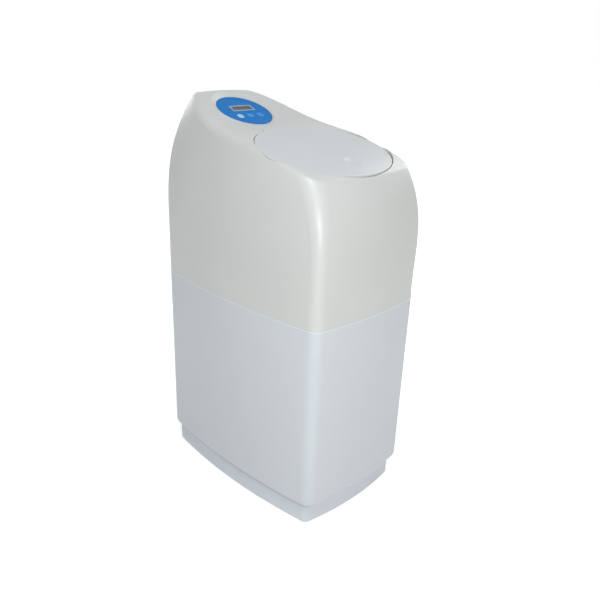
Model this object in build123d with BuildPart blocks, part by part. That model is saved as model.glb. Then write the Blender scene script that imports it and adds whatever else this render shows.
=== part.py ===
from build123d import *
import math
import os

os.makedirs("parts", exist_ok=True)

# A compact cabinet water softener. The origin is on the floor under the middle of the
# cabinet, +Z is up, the front faces -Y and the pipework leaves through the back at +Y.
# All lengths are in millimetres.

# Cabinet
cabinet_width = 302.0
cabinet_depth = 478.0
side_bow = 19.0
front_bow = 13.5
front_corner_radius = 26.0
back_corner_radius = 38.0
plinth_height = 50.0
tank_height = 400.0
cover_height = 386.0
tank_taper = 1.5
tank_wall = 3.0
tank_foot_radius = 9.0
cut_overrun = 12.0

# Top cover: how the walls lean in above the lean height
lean_rise = 150.0
side_lean_radius = 900.0
back_lean_radius = 402.0
front_lean_radius = 235.0
steepest_lean_share = 0.8
back_lean = 12.0
top_front_corner_radius = 56.0
top_back_corner_radius = 17.0
cover_wall = 3.0
crest_radius = 12.0
cover_station_shares = (0.0, 0.18, 0.39, 0.6, 0.78, 1.04)
# Roof stations: place along the depth, height up the cover and crown across the width
roof_line_shares = (
    (-0.596, 0.627, 0.016),
    (-0.458, 0.702, 0.016),
    (-0.314, 0.769, 0.016),
    (-0.188, 0.808, 0.012),
    (-0.063, 0.833, 0.010),
    (0.063, 0.850, 0.004),
    (0.188, 0.863, -0.036),
    (0.314, 0.926, -0.026),
    (0.450, 1.003, 0.040),
    (0.544, 1.044, 0.046),
)
spigot_height = 10.0
spigot_root = 12.0
spigot_wall = 2.6
spigot_clearance = 0.8
back_notch_width = 180.0
back_notch_height = 236.0
back_notch_radius = 24.0
cover_screw_spacing = 212.0
cover_screw_radius = 1.9
cover_screw_head_radius = 4.0
cover_screw_head_height = 2.4
cover_screw_length = 9.0
cover_screw_height = 5.0
screw_clearance = 0.05

# Salt lid, an ellipse on a plane that tilts down to the front
lid_width = 301.0
lid_length = 246.8
lid_centre_y = -100.0
lid_centre_height = 752.5
lid_tilt = 14.0
lid_dome = 8.0
lid_wall = 2.5
lid_rim_depth = 7.0
lid_gap = 1.8
lid_rim_round = 2.0
lid_seat_clearance = 0.3
mouth_ledge = 9.0
mouth_collar_wall = 3.5
mouth_collar_depth = 5.0
seal_width = 3.0
seal_height = 2.4
finger_dimple_width = 34.0
finger_dimple_depth = 1.8
finger_dimple_reach = 80.0

# Lid hinge
hinge_pin_radius = 1.5
hinge_inset = 7.5
hinge_drop = 5.4
hinge_ear_spacing = 40.0
hinge_ear_width = 4.0
hinge_ear_radius = 3.0
hinge_lug_width = 4.0
hinge_lug_radius = 3.4
hinge_side_clearance = 0.4
hinge_pin_clearance = 0.05
hinge_trough_radius = 10.2
hinge_trough_length = 120.0
hinge_trough_gap = 2.6
trough_curve_share = 0.8
hinge_block_depth = 8.0

# Control panel, a disc on a plane that tilts down to the front
panel_width = 127.6
panel_length = 119.6
panel_centre_y = 142.0
panel_centre_height = 801.0
panel_tilt = 22.5
panel_thickness = 2.6
panel_edge_round = 0.8
panel_gap = 0.7
panel_floor = 3.0
panel_dish_flare = 12.0
panel_dish_rise = 6.5
panel_dish_head = 14.0
panel_dish_head_flare = 8.0
display_width = 59.0
display_length = 21.0
display_offset = 9.6
display_frame_border = 2.4
display_frame_height = 0.7
display_glass_thickness = 1.4
display_clearance = 0.15
module_border = 3.0
module_thickness = 5.0
button_radius = 8.0
button_spacing = 27.7
button_offset = -21.5
button_clearance = 0.25
button_proud = 0.6
button_travel = 0.7
button_flange = 1.2
button_flange_height = 1.0
button_stem_radius = 2.5
board_width = 96.0
board_length = 62.0
board_thickness = 1.6
board_drop = 11.0
housing_wall = 2.0
housing_clearance = 1.0
switch_size = 6.0
switch_height = 3.4

# Pressure vessel
vessel_radius = 103.0
vessel_height = 532.0
vessel_centre_y = 124.0
vessel_wall = 4.0
vessel_dome = 52.0
vessel_knuckle = 40.0
vessel_neck_radius = 39.0
vessel_neck_height = 26.0
vessel_neck_bore = 31.0
boot_height = 70.0
boot_wall = 2.5
boot_clearance = 0.2
riser_radius = 13.35
riser_bore = 11.0
riser_clearance = 0.1
lower_basket_radius = 27.0
lower_basket_height = 62.0
lower_basket_lift = 4.0
basket_slot_count = 8
basket_slot_width = 3.0
basket_wall = 2.5
upper_basket_radius = 27.0
upper_basket_height = 34.0
resin_fill_share = 0.72
resin_clearance = 0.5

# Control valve
valve_flange_radius = 52.0
valve_flange_height = 15.0
valve_body_radius = 44.0
valve_body_height = 108.0
valve_top_flange_radius = 58.0
valve_top_flange_height = 6.0
valve_spigot_clearance = 0.2
neck_ring_radius = 2.2
disc_chamber_radius = 36.0
disc_chamber_depth = 34.0
disc_radius = 33.0
fixed_disc_thickness = 6.0
moving_disc_thickness = 6.0
disc_port_radius = 6.0
disc_port_place = 20.0
spindle_flange_radius = 26.0
spindle_flange_height = 5.0
spindle_radius = 8.0
spindle_top_radius = 5.0
spindle_clearance = 0.06
bonnet_thickness = 9.0
bonnet_boss_radius = 14.0
bonnet_boss_height = 6.0
bonnet_screw_count = 6
bonnet_screw_place = 49.0
bonnet_screw_radius = 2.5
bonnet_screw_length = 14.0
bonnet_screw_head_radius = 4.2
bonnet_screw_head_height = 3.6
port_drop = 68.0
port_spacing = 76.0
port_radius = 16.0
port_bore = 10.5
port_reach = 76.0
side_port_radius = 9.0
side_port_bore = 4.5
side_port_reach = 56.0
side_port_drop = 20.0
port_end_wall = 7.0
passage_inner_radius = 16.0
passage_outer_radius = 26.0
disc_port_side = 22.0
disc_port_back = 10.0
neck_ring_place = 35.0
screw_turn = 0.0
tenon_length = 24.0
tenon_width = 6.0
tenon_depth = 2.0
injector_radius = 11.0
injector_length = 14.0
injector_drop = 36.0
injector_wall = 3.0
injector_boss_height = 4.0
injector_head_height = 5.0

# Gear drive: the teeth's module is their pitch diameter over their number
gear_module = 1.5
drive_gear_teeth = 60
pinion_teeth = 12
gear_thickness = 7.0
gear_backlash = 0.25
gear_addendum_share = 0.75
gear_dedendum_share = 1.15
pressure_angle = 20.0
gear_hub_radius = 13.0
gear_clearance = 0.6
gear_window_count = 6
gear_window_radius = 9.0
motor_radius = 25.0
motor_height = 17.0
motor_edge_round = 1.5
motor_shaft_radius = 2.5
motor_shaft_clearance = 0.02
motor_ear_thickness = 2.0
motor_ear_radius = 4.0
motor_ear_spacing = 58.0
motor_screw_radius = 1.5
bracket_thickness = 3.0
bracket_post_radius = 4.0
bracket_post_place = 53.0
bracket_window_radius = 30.0

# Flow meter in the outlet port
turbine_radius = 8.4
turbine_length = 10.0
turbine_blade_count = 5
turbine_blade_thickness = 1.0
turbine_hub_radius = 2.8
turbine_pin_radius = 1.0
turbine_pin_clearance = 0.06
turbine_gap = 0.6
cage_wall = 1.0
cage_spoke_width = 1.6
cage_spoke_thickness = 2.5
cage_clearance = 0.05
cage_inset = 4.0

# Bypass valve behind the cabinet
bypass_gap = 0.3
bypass_length = 62.0
bypass_chamber_radius = 19.0
bypass_chamber_height = 50.0
bypass_chamber_place = 34.0
bypass_cross_radius = 12.0
rotor_radius = 14.0
rotor_clearance = 0.08
rotor_floor = 6.0
rotor_height = 38.0
rotor_stem_radius = 6.0
rotor_bore = 8.0
chamber_cap_height = 5.0
knob_radius = 21.0
knob_height = 12.0
knob_gap = 0.6
knob_grip_width = 9.0
knob_grip_height = 9.0
knob_stem_seat = 6.0
knob_edge_round = 2.0
knob_grip_length = 36.0
union_radius = 21.0
union_length = 17.0
union_clearance = 0.12
union_side_count = 12
pipe_thread_radius = 13.2
pipe_thread_length = 18.0
pipe_collar_radius = 18.0
pipe_collar_length = 5.0

# Drain and overflow spigots take a half-inch hose
hose_spigot_radius = 6.35
hose_spigot_length = 24.0
hose_bore = 4.5
hose_bead_radius = 7.2
hose_bead_length = 2.5
hose_bead_inset = 4.0
hose_collar_length = 3.0
drain_bend_offset = 74.0
drain_reach = 26.0
overflow_height = 392.0
overflow_place_x = 96.0
overflow_flange_radius = 14.0
overflow_flange_length = 3.0
overflow_neck_length = 13.0
overflow_nut_length = 6.0
overflow_reach = 16.0
overflow_drop = 8.0
wall_seat = 0.05
fitting_clearance = 0.1

# Brine side
well_x = -112.0
well_y = 2.0
well_radius = 46.0
well_wall = 2.5
well_height = 372.0
well_slot_count = 8
well_slot_width = 4.0
well_slot_height = 26.0
well_slot_foot = 8.0
cap_thickness = 2.5
cap_skirt = 9.0
cap_overhang = 2.0
cap_clearance = 0.25
cap_knob_radius = 9.0
cap_knob_height = 11.0
brine_valve_radius = 14.0
brine_valve_height = 66.0
brine_valve_clear = 14.0
strainer_wall = 1.6
strainer_height = 24.0
strainer_slot_count = 6
strainer_slot_width = 2.5
brine_line_radius = 4.75
brine_line_bore = 3.2
brine_line_bend = 26.0
brine_nut_radius = 9.0
brine_nut_length = 13.0
brine_valve_offset = 12.0
float_rod_offset = 20.0
float_rod_radius = 2.0
float_rod_clearance = 0.08
float_rod_bottom = 88.0
float_radius = 14.0
float_height = 46.0
float_drop = 110.0
float_travel = 15.0
float_stop_radius = 4.5
float_stop_height = 5.0
float_edge_round = 3.0
guide_arm_thickness = 5.0
guide_arm_width = 10.0

# Base fasteners and the power socket
plinth_inset = 11.0
plinth_setback = 3.0
plinth_wall = 3.0
plinth_edge_radius = 1.2
plinth_rib_pitch = 80.0
base_screw_x = 108.0
base_screw_back_y = 203.0
base_screw_front_y = -168.0
base_screw_radius = 2.5
base_screw_length = 14.0
base_screw_head_radius = 5.0
base_screw_head_height = 3.0
base_boss_radius = 7.5
base_boss_height = 16.0
socket_radius = 7.0
socket_flange_radius = 9.0
socket_flange_height = 2.0
socket_length = 12.0
socket_bore = 2.8
socket_bore_depth = 9.5
socket_x = 62.0
socket_height = 752.0

# Levels and places that follow from the sizes above
seam_height = plinth_height + tank_height
top_height = seam_height + cover_height
lean_height = seam_height + lean_rise
vessel_base = plinth_height + tank_wall
vessel_top = vessel_base + vessel_height
valve_top = vessel_top + valve_body_height
chamber_floor = valve_top - disc_chamber_depth
port_level = valve_top - port_drop
side_port_level = valve_top - side_port_drop
port_end = vessel_centre_y + port_reach
bonnet_top = valve_top + bonnet_thickness
gear_level = bonnet_top + bonnet_boss_height + gear_clearance
bracket_level = gear_level + gear_thickness + gear_clearance * 4
gear_distance = gear_module * (drive_gear_teeth + pinion_teeth) / 2
well_top = vessel_base + well_height

lid_plane = Plane(
    origin=(0, lid_centre_y, lid_centre_height),
    x_dir=(1, 0, 0),
    z_dir=(0, -math.sin(math.radians(lid_tilt)), math.cos(math.radians(lid_tilt))),
)
panel_plane = Plane(
    origin=(0, panel_centre_y, panel_centre_height),
    x_dir=(1, 0, 0),
    z_dir=(0, -math.sin(math.radians(panel_tilt)), math.cos(math.radians(panel_tilt))),
)
vessel_axis = Axis((0, vessel_centre_y, 0), (0, 0, 1))
vessel_section = Plane.XZ.offset(-vessel_centre_y)


def save(name, piece):
    """Label a finished piece and write it as one file."""
    piece.label = name
    export_step(piece, f"parts/{name}.step")


def arc_lean(radius, rise):
    """How far a wall leans in on an arc, and past its steepest place on the tangent."""
    steepest = radius * steepest_lean_share
    along = min(rise, steepest)
    drop = math.sqrt(radius**2 - along**2)
    return radius - drop + (rise - along) * along / drop


def cabinet_outline(height, inset):
    """Plan outline of the cabinet at a height, drawn in by an inset all round."""
    rise = max(0.0, height - lean_height)
    rise_share = rise / (top_height - lean_height)
    taper = tank_taper * max(0.0, seam_height - height) / tank_height
    side_lean = arc_lean(side_lean_radius, rise) + taper + inset
    half_front = cabinet_width / 2 - side_lean
    half_middle = cabinet_width / 2 + side_bow - side_lean
    half_back = cabinet_width / 2 - arc_lean(back_lean_radius, rise) - taper - inset
    front = -cabinet_depth / 2 + arc_lean(front_lean_radius, rise) + taper + inset
    back = cabinet_depth / 2 - back_lean * rise_share**2 - taper - inset
    front_growth = (top_front_corner_radius - front_corner_radius) * rise_share
    back_growth = (top_back_corner_radius - back_corner_radius) * rise_share
    with BuildSketch(Plane.XY.offset(height)) as outline:
        with BuildLine():
            ThreePointArc((-half_front, front), (0, front - front_bow), (half_front, front))
            ThreePointArc((half_front, front), (half_middle, 0), (half_back, back))
            Line((half_back, back), (-half_back, back))
            ThreePointArc((-half_back, back), (-half_middle, 0), (-half_front, front))
        make_face()
        front_corners = outline.vertices().group_by(Axis.Y)[0]
        fillet(front_corners, radius=front_corner_radius + front_growth - inset)
        back_corners = outline.vertices().group_by(Axis.Y)[-1]
        fillet(back_corners, radius=back_corner_radius + back_growth - inset)
    return outline.sketch


def cabinet_block(heights, inset):
    """Solid body of the cabinet, lofted through its outlines at several heights."""
    with BuildPart() as block:
        for height in heights:
            add(cabinet_outline(height, inset))
        loft()
    return block.part


def roof_cutter(drop):
    """Everything above the roof, whose crowned and dished surface is its underside."""
    half_span = cabinet_width / 2 + side_bow + cut_overrun
    ceiling = top_height + cover_height / 2
    with BuildPart() as cutter:
        for depth_share, height_share, crown_share in roof_line_shares:
            middle = seam_height + cover_height * height_share - drop
            edge = middle - cover_height * crown_share
            with BuildSketch(Plane.XZ.offset(-cabinet_depth * depth_share)):
                with BuildLine():
                    ThreePointArc((-half_span, edge), (0, middle), (half_span, edge))
                    Polyline(
                        (half_span, edge),
                        (half_span, ceiling),
                        (-half_span, ceiling),
                        (-half_span, edge),
                    )
                make_face()
        loft()
    return cutter.part


def cover_form(inset, foot_drop):
    """The cover's outer or inner form: leaning walls under the roof with a soft crest."""
    heights = [seam_height + cover_height * share for share in cover_station_shares]
    heights[0] -= foot_drop
    with BuildPart() as form:
        add(cabinet_block(heights, inset))
        add(roof_cutter(inset), mode=Mode.SUBTRACT)
        roof = form.faces().filter_by(lambda face: face.normal_at(face.center()).Z > 0.8)
        roof = roof.sort_by(Axis.Z)[-1]
        fillet(roof.edges(), radius=crest_radius - inset)
    return form.part


def lid_ellipse(level, margin):
    """Filled ellipse on the lid's plane at a level, larger than the lid by a margin."""
    with BuildSketch(lid_plane.offset(level)) as shape:
        Ellipse(lid_width / 2 + margin, lid_length / 2 + margin)
    return shape.sketch


def ring_of_screws(places, head_level, radius, length, head_radius, head_height, up=1):
    """Pan-head screws along Z at places, their heads above head_level or below it."""
    with BuildPart() as screws:
        for x, y in places:
            with BuildSketch(Plane.XY.offset(head_level)):
                with Locations((x, y)):
                    Circle(head_radius)
            extrude(amount=head_height * up)
            with BuildSketch(Plane.XY.offset(head_level)):
                with Locations((x, y)):
                    Circle(radius)
            extrude(amount=-length * up)
    return screws.part


# Base plinth: a hollow foot with ribs under its deck, set in behind the tank's edge
with BuildPart() as base_plinth:
    with BuildSketch():
        with Locations((0, plinth_setback)):
            add(cabinet_outline(0.0, plinth_inset))
    extrude(amount=plinth_height)
    fillet(base_plinth.faces().sort_by(Axis.Z)[0].edges(), radius=plinth_edge_radius)
    with BuildSketch():
        with Locations((0, plinth_setback)):
            add(cabinet_outline(0.0, plinth_inset + plinth_wall))
    extrude(amount=plinth_height - plinth_wall, mode=Mode.SUBTRACT)
    rib_count = int(cabinet_depth / plinth_rib_pitch / 2)
    with BuildSketch() as rib_plan:
        for step in range(-rib_count, rib_count + 1):
            with Locations((0, step * plinth_rib_pitch)):
                Rectangle(cabinet_width + side_bow * 2, plinth_wall)
        for side in (-1, 0, 1):
            with Locations((side * plinth_rib_pitch, 0)):
                Rectangle(plinth_wall, cabinet_depth + front_bow * 2)
        with Locations((0, plinth_setback)):
            add(cabinet_outline(0.0, plinth_inset + plinth_wall / 2), mode=Mode.INTERSECT)
    extrude(amount=plinth_height - plinth_wall / 2)
    base_screw_places = [
        (side * base_screw_x, y)
        for side in (-1, 1)
        for y in (base_screw_front_y, base_screw_back_y)
    ]
    with Locations(*[(x, y, plinth_height) for x, y in base_screw_places]):
        Hole(base_screw_radius + screw_clearance)
save("base_plinth", base_plinth.part)

# Brine tank: an open moulded tub with a tapered wall, a rounded foot, blind screw bosses
# in its floor and a spigot inside its rim that locates the cover
with BuildPart() as brine_tank:
    add(cabinet_block((plinth_height, seam_height), 0.0))
    fillet(brine_tank.faces().sort_by(Axis.Z)[0].edges(), radius=tank_foot_radius)
    inner_floor = plinth_height + tank_wall
    add(
        cabinet_block((inner_floor, seam_height + cut_overrun), tank_wall),
        mode=Mode.SUBTRACT,
    )
    with BuildSketch(Plane.XY.offset(inner_floor - tank_wall / 2)) as boss_plan:
        with Locations(*base_screw_places):
            Circle(base_boss_radius)
    extrude(amount=base_boss_height)
    with Locations(*[(x, y, plinth_height) for x, y in base_screw_places]):
        Cylinder(
            base_screw_radius + screw_clearance,
            base_screw_length,
            align=(Align.CENTER, Align.CENTER, Align.MIN),
            mode=Mode.SUBTRACT,
        )
    spigot_face = tank_wall + spigot_clearance
    with BuildSketch(Plane.XY.offset(seam_height - spigot_root)):
        add(cabinet_outline(seam_height - spigot_root, tank_wall / 2))
        add(
            cabinet_outline(seam_height - spigot_root, spigot_face + spigot_wall),
            mode=Mode.SUBTRACT,
        )
    extrude(amount=spigot_root)
    with BuildSketch(Plane.XY.offset(seam_height)):
        add(cabinet_outline(seam_height, spigot_face))
        add(cabinet_outline(seam_height, spigot_face + spigot_wall), mode=Mode.SUBTRACT)
    extrude(amount=spigot_height)
    with BuildSketch(Plane.XZ.offset(-cabinet_depth / 2 - cut_overrun)):
        with Locations((overflow_place_x, overflow_height)):
            Circle(hose_spigot_radius + fitting_clearance)
        for side in (-1, 1):
            with Locations((side * cover_screw_spacing / 2, seam_height + cover_screw_height)):
                Circle(cover_screw_radius + screw_clearance)
    extrude(amount=cut_overrun * 3, mode=Mode.SUBTRACT)
save("brine_tank", brine_tank.part)

# Screws that hold the plinth to the tank from below
deck_underside = plinth_height - plinth_wall
base_screws = ring_of_screws(
    base_screw_places,
    deck_underside,
    base_screw_radius,
    base_screw_length,
    base_screw_head_radius,
    base_screw_head_height,
    up=-1,
)
save("base_screws", base_screws)

# Top cover: a thin moulded hood over the valve and the salt store. A collar under the
# mouth carries the lid, a dished floor carries the control panel, and a notch at the back
# lets the hood lift off over the pipework.
cover_outer = cover_form(0.0, 0.0)
cover_inner = cover_form(cover_wall, cut_overrun)
seat_level = -lid_rim_depth - lid_seat_clearance
collar_bottom = seat_level - mouth_collar_depth
hinge_level = -hinge_drop
hinge_reach = lid_length / 2 - hinge_inset
hinge_frame = Plane(
    origin=lid_plane.from_local_coords((0, hinge_reach, hinge_level)),
    x_dir=lid_plane.y_dir,
    z_dir=(1, 0, 0),
)
with BuildPart() as mouth_collar:
    add(lid_ellipse(collar_bottom, lid_gap + mouth_collar_wall))
    extrude(amount=-collar_bottom + crest_radius, dir=lid_plane.z_dir)
    hinge_block_length = hinge_trough_length + mouth_collar_wall * 2
    hinge_block_reach = hinge_trough_radius + mouth_collar_wall
    with BuildSketch(lid_plane.offset(hinge_level - hinge_trough_radius - mouth_collar_wall)):
        with Locations((0, hinge_reach)):
            Rectangle(hinge_block_length, hinge_block_reach * 2)
    extrude(amount=hinge_block_depth + crest_radius, dir=lid_plane.z_dir)
    add(cover_outer, mode=Mode.INTERSECT)
with BuildPart() as panel_well:
    with BuildSketch(panel_plane.offset(-panel_thickness - panel_floor)):
        Ellipse(
            panel_width / 2 + panel_gap + panel_dish_flare,
            panel_length / 2 + panel_gap + panel_dish_flare / 2,
        )
    extrude(amount=panel_dish_rise + panel_thickness + panel_floor, dir=panel_plane.z_dir)
    add(cover_outer, mode=Mode.INTERSECT)
# The dish flares from the panel's rim up to the roof, more steeply above the roof's line
dish_levels = (
    (-panel_thickness, panel_gap),
    (0, panel_gap),
    (panel_dish_rise, panel_gap + panel_dish_flare),
    (panel_dish_rise + panel_dish_head, panel_gap + panel_dish_flare + panel_dish_head_flare),
)
with BuildPart() as panel_dish:
    for level, margin in dish_levels[:2]:
        with BuildSketch(panel_plane.offset(level)):
            Ellipse(panel_width / 2 + margin, panel_length / 2 + margin)
    loft()
    for level, margin in dish_levels[1:]:
        with BuildSketch(panel_plane.offset(level)):
            Ellipse(panel_width / 2 + margin, panel_length / 2 + margin)
    loft(ruled=True)
# The socket's flange sits in a flat recess cut level with the wall at the flange's top
socket_top_share = (socket_height + socket_flange_radius - lean_height) / (top_height - lean_height)
socket_face = cabinet_depth / 2 - back_lean * socket_top_share**2
housing_width = board_width + (housing_clearance + housing_wall) * 2
housing_length = board_length + (housing_clearance + housing_wall) * 2
# The trough that the lid's back edge swings down into is widest behind the hinge's middle
with BuildPart() as hinge_trough:
    with BuildSketch(hinge_frame.offset(-hinge_trough_length / 2)):
        Circle(hinge_trough_radius)
    extrude(amount=hinge_trough_length)
    with BuildSketch(lid_plane.offset(collar_bottom - cut_overrun)):
        Ellipse(lid_width * trough_curve_share, lid_length / 2 + hinge_trough_gap)
    extrude(amount=lid_rim_depth * 6, dir=lid_plane.z_dir, mode=Mode.INTERSECT)
with BuildPart() as top_cover:
    add(cover_outer)
    add(cover_inner, mode=Mode.SUBTRACT)
    add(mouth_collar.part)
    add(panel_well.part)
    add(lid_ellipse(seat_level, lid_gap))
    extrude(amount=lid_rim_depth * 4, dir=lid_plane.z_dir, mode=Mode.SUBTRACT)
    add(lid_ellipse(collar_bottom - cut_overrun, -mouth_ledge))
    extrude(amount=lid_rim_depth * 6, dir=lid_plane.z_dir, mode=Mode.SUBTRACT)
    add(hinge_trough.part, mode=Mode.SUBTRACT)
    for side in (-1, 1):
        ear_start = side * hinge_ear_spacing / 2 - hinge_ear_width / 2
        with BuildSketch(hinge_frame.offset(ear_start)):
            Circle(hinge_ear_radius)
            with Locations((-hinge_ear_radius, -(hinge_trough_radius + hinge_ear_radius) / 2)):
                Rectangle(hinge_ear_radius * 2, hinge_trough_radius + hinge_ear_radius)
        extrude(amount=hinge_ear_width)
        with BuildSketch(hinge_frame.offset(ear_start)):
            Circle(hinge_pin_radius + hinge_pin_clearance)
        extrude(amount=hinge_ear_width, mode=Mode.SUBTRACT)
    add(panel_dish.part, mode=Mode.SUBTRACT)
    with BuildSketch(panel_plane.offset(-panel_thickness)):
        Rectangle(housing_width + housing_clearance, housing_length + housing_clearance)
    extrude(amount=-panel_floor * 3, dir=panel_plane.z_dir, mode=Mode.SUBTRACT)
    with BuildSketch(Plane.XZ.offset(-cabinet_depth / 2 - cut_overrun)):
        with Locations((0, seam_height + (back_notch_height - cut_overrun) / 2)):
            RectangleRounded(
                back_notch_width, back_notch_height + cut_overrun, back_notch_radius
            )
        for side in (-1, 1):
            with Locations((side * cover_screw_spacing / 2, seam_height + cover_screw_height)):
                Circle(cover_screw_radius + screw_clearance)
        with Locations((socket_x, socket_height)):
            Circle(socket_radius + fitting_clearance)
    extrude(amount=cut_overrun * 4, mode=Mode.SUBTRACT)
    with BuildSketch(Plane.XZ.offset(-socket_face)):
        with Locations((socket_x, socket_height)):
            Circle(socket_flange_radius + fitting_clearance)
    extrude(amount=-cut_overrun, mode=Mode.SUBTRACT)
save("top_cover", top_cover.part)

# Two screws at the back hold the cover's lower edge to the spigot inside it
cover_screws_face = cabinet_depth / 2
with BuildPart() as cover_screws:
    for side in (-1, 1):
        place = (side * cover_screw_spacing / 2, seam_height + cover_screw_height)
        with BuildSketch(Plane.XZ.offset(-cover_screws_face - screw_clearance)):
            with Locations(place):
                Circle(cover_screw_head_radius)
        extrude(amount=-cover_screw_head_height)
        with BuildSketch(Plane.XZ.offset(-cover_screws_face - screw_clearance)):
            with Locations(place):
                Circle(cover_screw_radius)
        extrude(amount=cover_screw_length)
save("cover_screws", cover_screws.part)


def crown_radius(reach):
    """Radius of the lid's crown along one axis, from its half-width there."""
    return (reach**2 + lid_dome**2) / (lid_dome * 2)


def crown_form(inset):
    """Room under the lid's crown, whose two radii bring the whole rim to one level."""
    along = crown_radius(lid_length / 2) - inset
    across = crown_radius(lid_width / 2)
    reach = lid_length / 2 + cut_overrun
    top = lid_dome - inset
    side = top - along + math.sqrt(along**2 - reach**2)
    floor = -lid_rim_depth - cut_overrun * 2
    with BuildPart() as form:
        with BuildSketch(Plane.YZ):
            with BuildLine():
                ThreePointArc((-reach, side), (0, top), (reach, side))
                Polyline((reach, side), (reach, floor), (-reach, floor), (-reach, side))
            make_face()
        revolve(axis=Axis((0, 0, lid_dome - across), (0, 1, 0)))
    return form.part


# Salt lid: a domed oval shell with a turned-down rim, a shallow finger dimple near its
# front and two lugs at the back that turn on the hinge pin. The rim is cut away between the
# lugs, where it would meet the cover's ears.
inner_rim_width = lid_width - lid_wall * 2
inner_rim_length = lid_length - lid_wall * 2
with BuildPart() as lid_round:
    with BuildSketch(Plane.XY.offset(-lid_rim_depth)):
        Ellipse(lid_width / 2, lid_length / 2)
    extrude(amount=lid_rim_depth + lid_dome)
    add(crown_form(0.0), mode=Mode.INTERSECT)
    fillet(lid_round.faces().sort_by(Axis.Z)[-1].edges(), radius=lid_rim_round)
with BuildPart() as lid_hollow:
    with BuildSketch(Plane.XY.offset(-lid_rim_depth - cut_overrun)):
        Ellipse(inner_rim_width / 2, inner_rim_length / 2)
    extrude(amount=lid_rim_depth + cut_overrun + lid_dome)
    add(crown_form(lid_wall), mode=Mode.INTERSECT)
pin_length = hinge_ear_spacing + hinge_ear_width + (hinge_side_clearance + hinge_lug_width) * 2
crown_reach = crown_radius(lid_length / 2)
dimple_floor = lid_dome - crown_reach + math.sqrt(crown_reach**2 - finger_dimple_reach**2)
dimple_sphere = (finger_dimple_width / 2) ** 2 / (2 * finger_dimple_depth)
with BuildPart() as salt_lid:
    add(lid_plane.location * lid_round.part)
    add(lid_plane.location * lid_hollow.part, mode=Mode.SUBTRACT)
    with Locations(
        lid_plane.from_local_coords(
            (0, -finger_dimple_reach, dimple_floor + dimple_sphere - finger_dimple_depth)
        )
    ):
        Sphere(dimple_sphere, mode=Mode.SUBTRACT)
    for side in (-1, 1):
        outer_place = hinge_ear_spacing / 2 + hinge_ear_width / 2 + hinge_side_clearance
        lug_start = side * outer_place if side > 0 else -outer_place - hinge_lug_width
        with BuildSketch(hinge_frame.offset(lug_start)):
            Circle(hinge_lug_radius)
            with Locations((0, hinge_drop / 2)):
                Rectangle(hinge_lug_radius * 2, hinge_drop)
        extrude(amount=hinge_lug_width)
    with BuildSketch(hinge_frame.offset(-pin_length / 2)):
        Circle(hinge_pin_radius + hinge_pin_clearance)
    extrude(amount=pin_length, mode=Mode.SUBTRACT)
    with BuildSketch(hinge_frame.offset(-outer_place)):
        with Locations((hinge_inset, 0)):
            Rectangle((hinge_inset - hinge_ear_radius) * 2, (hinge_drop - lid_wall) * 2)
    extrude(amount=outer_place * 2, mode=Mode.SUBTRACT)
save("salt_lid", salt_lid.part)

# Hinge pin: one plain rod through the cover's ears and the lid's lugs
with BuildPart() as lid_hinge_pin:
    with BuildSketch(hinge_frame.offset(-pin_length / 2)):
        Circle(hinge_pin_radius)
    extrude(amount=pin_length)
save("lid_hinge_pin", lid_hinge_pin.part)

# Lid seal: a soft ring under the dome, just inside the rim, that meets the mouth's ledge
with BuildPart() as lid_seal:
    seal_bottom = seat_level + lid_seat_clearance
    add(lid_ellipse(seal_bottom, -lid_wall - lid_seat_clearance))
    extrude(amount=seal_height, dir=lid_plane.z_dir)
    add(lid_ellipse(seal_bottom, -lid_wall - lid_seat_clearance - seal_width))
    extrude(amount=seal_height, dir=lid_plane.z_dir, mode=Mode.SUBTRACT)
    with BuildSketch(hinge_frame.offset(-hinge_trough_length / 2)):
        Circle(hinge_trough_radius)
    extrude(amount=hinge_trough_length, mode=Mode.SUBTRACT)
save("lid_seal", lid_seal.part)


# Control panel: a blue disc with a window and three button holes, on a shallow box that
# drops through the cover's floor and carries the display and the board
window_clear_width = display_width + display_clearance * 2
window_clear_length = display_length + display_clearance * 2
button_places = [(side * button_spacing, button_offset) for side in (-1, 0, 1)]
box_depth = board_drop + board_thickness + housing_clearance
with BuildPart() as control_panel:
    with BuildSketch(panel_plane.offset(-panel_thickness)):
        Ellipse(panel_width / 2, panel_length / 2)
    extrude(amount=panel_thickness, dir=panel_plane.z_dir)
    panel_face = control_panel.faces().sort_by(Axis.Z)[-1]
    chamfer(panel_face.edges(), length=panel_edge_round)
    with BuildSketch(panel_plane.offset(-panel_thickness)):
        Rectangle(housing_width, housing_length)
        Rectangle(
            housing_width - housing_wall * 2, housing_length - housing_wall * 2, mode=Mode.SUBTRACT
        )
    extrude(amount=-box_depth, dir=panel_plane.z_dir)
    with BuildSketch(panel_plane.offset(cut_overrun)):
        with Locations((0, display_offset)):
            Rectangle(window_clear_width, window_clear_length)
        with Locations(*button_places):
            Circle(button_radius + button_clearance)
    extrude(amount=-cut_overrun * 2, dir=panel_plane.z_dir, mode=Mode.SUBTRACT)
save("control_panel", control_panel.part)

# Display: a light frame round a glass pane in the window, over the display module
with BuildPart() as display_frame:
    with BuildSketch(panel_plane.offset(-panel_thickness)):
        with Locations((0, display_offset)):
            Rectangle(display_width, display_length)
            Rectangle(
                display_width - display_frame_border * 2,
                display_length - display_frame_border * 2,
                mode=Mode.SUBTRACT,
            )
    extrude(amount=panel_thickness + display_frame_height, dir=panel_plane.z_dir)
save("display_frame", display_frame.part)

glass_width = display_width - (display_frame_border + display_clearance) * 2
glass_length = display_length - (display_frame_border + display_clearance) * 2
glass_base = -panel_thickness + display_clearance
with BuildPart() as display_glass:
    with BuildSketch(panel_plane.offset(glass_base)):
        with Locations((0, display_offset)):
            Rectangle(glass_width, glass_length)
    extrude(amount=display_glass_thickness, dir=panel_plane.z_dir)
save("display_glass", display_glass.part)

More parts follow.
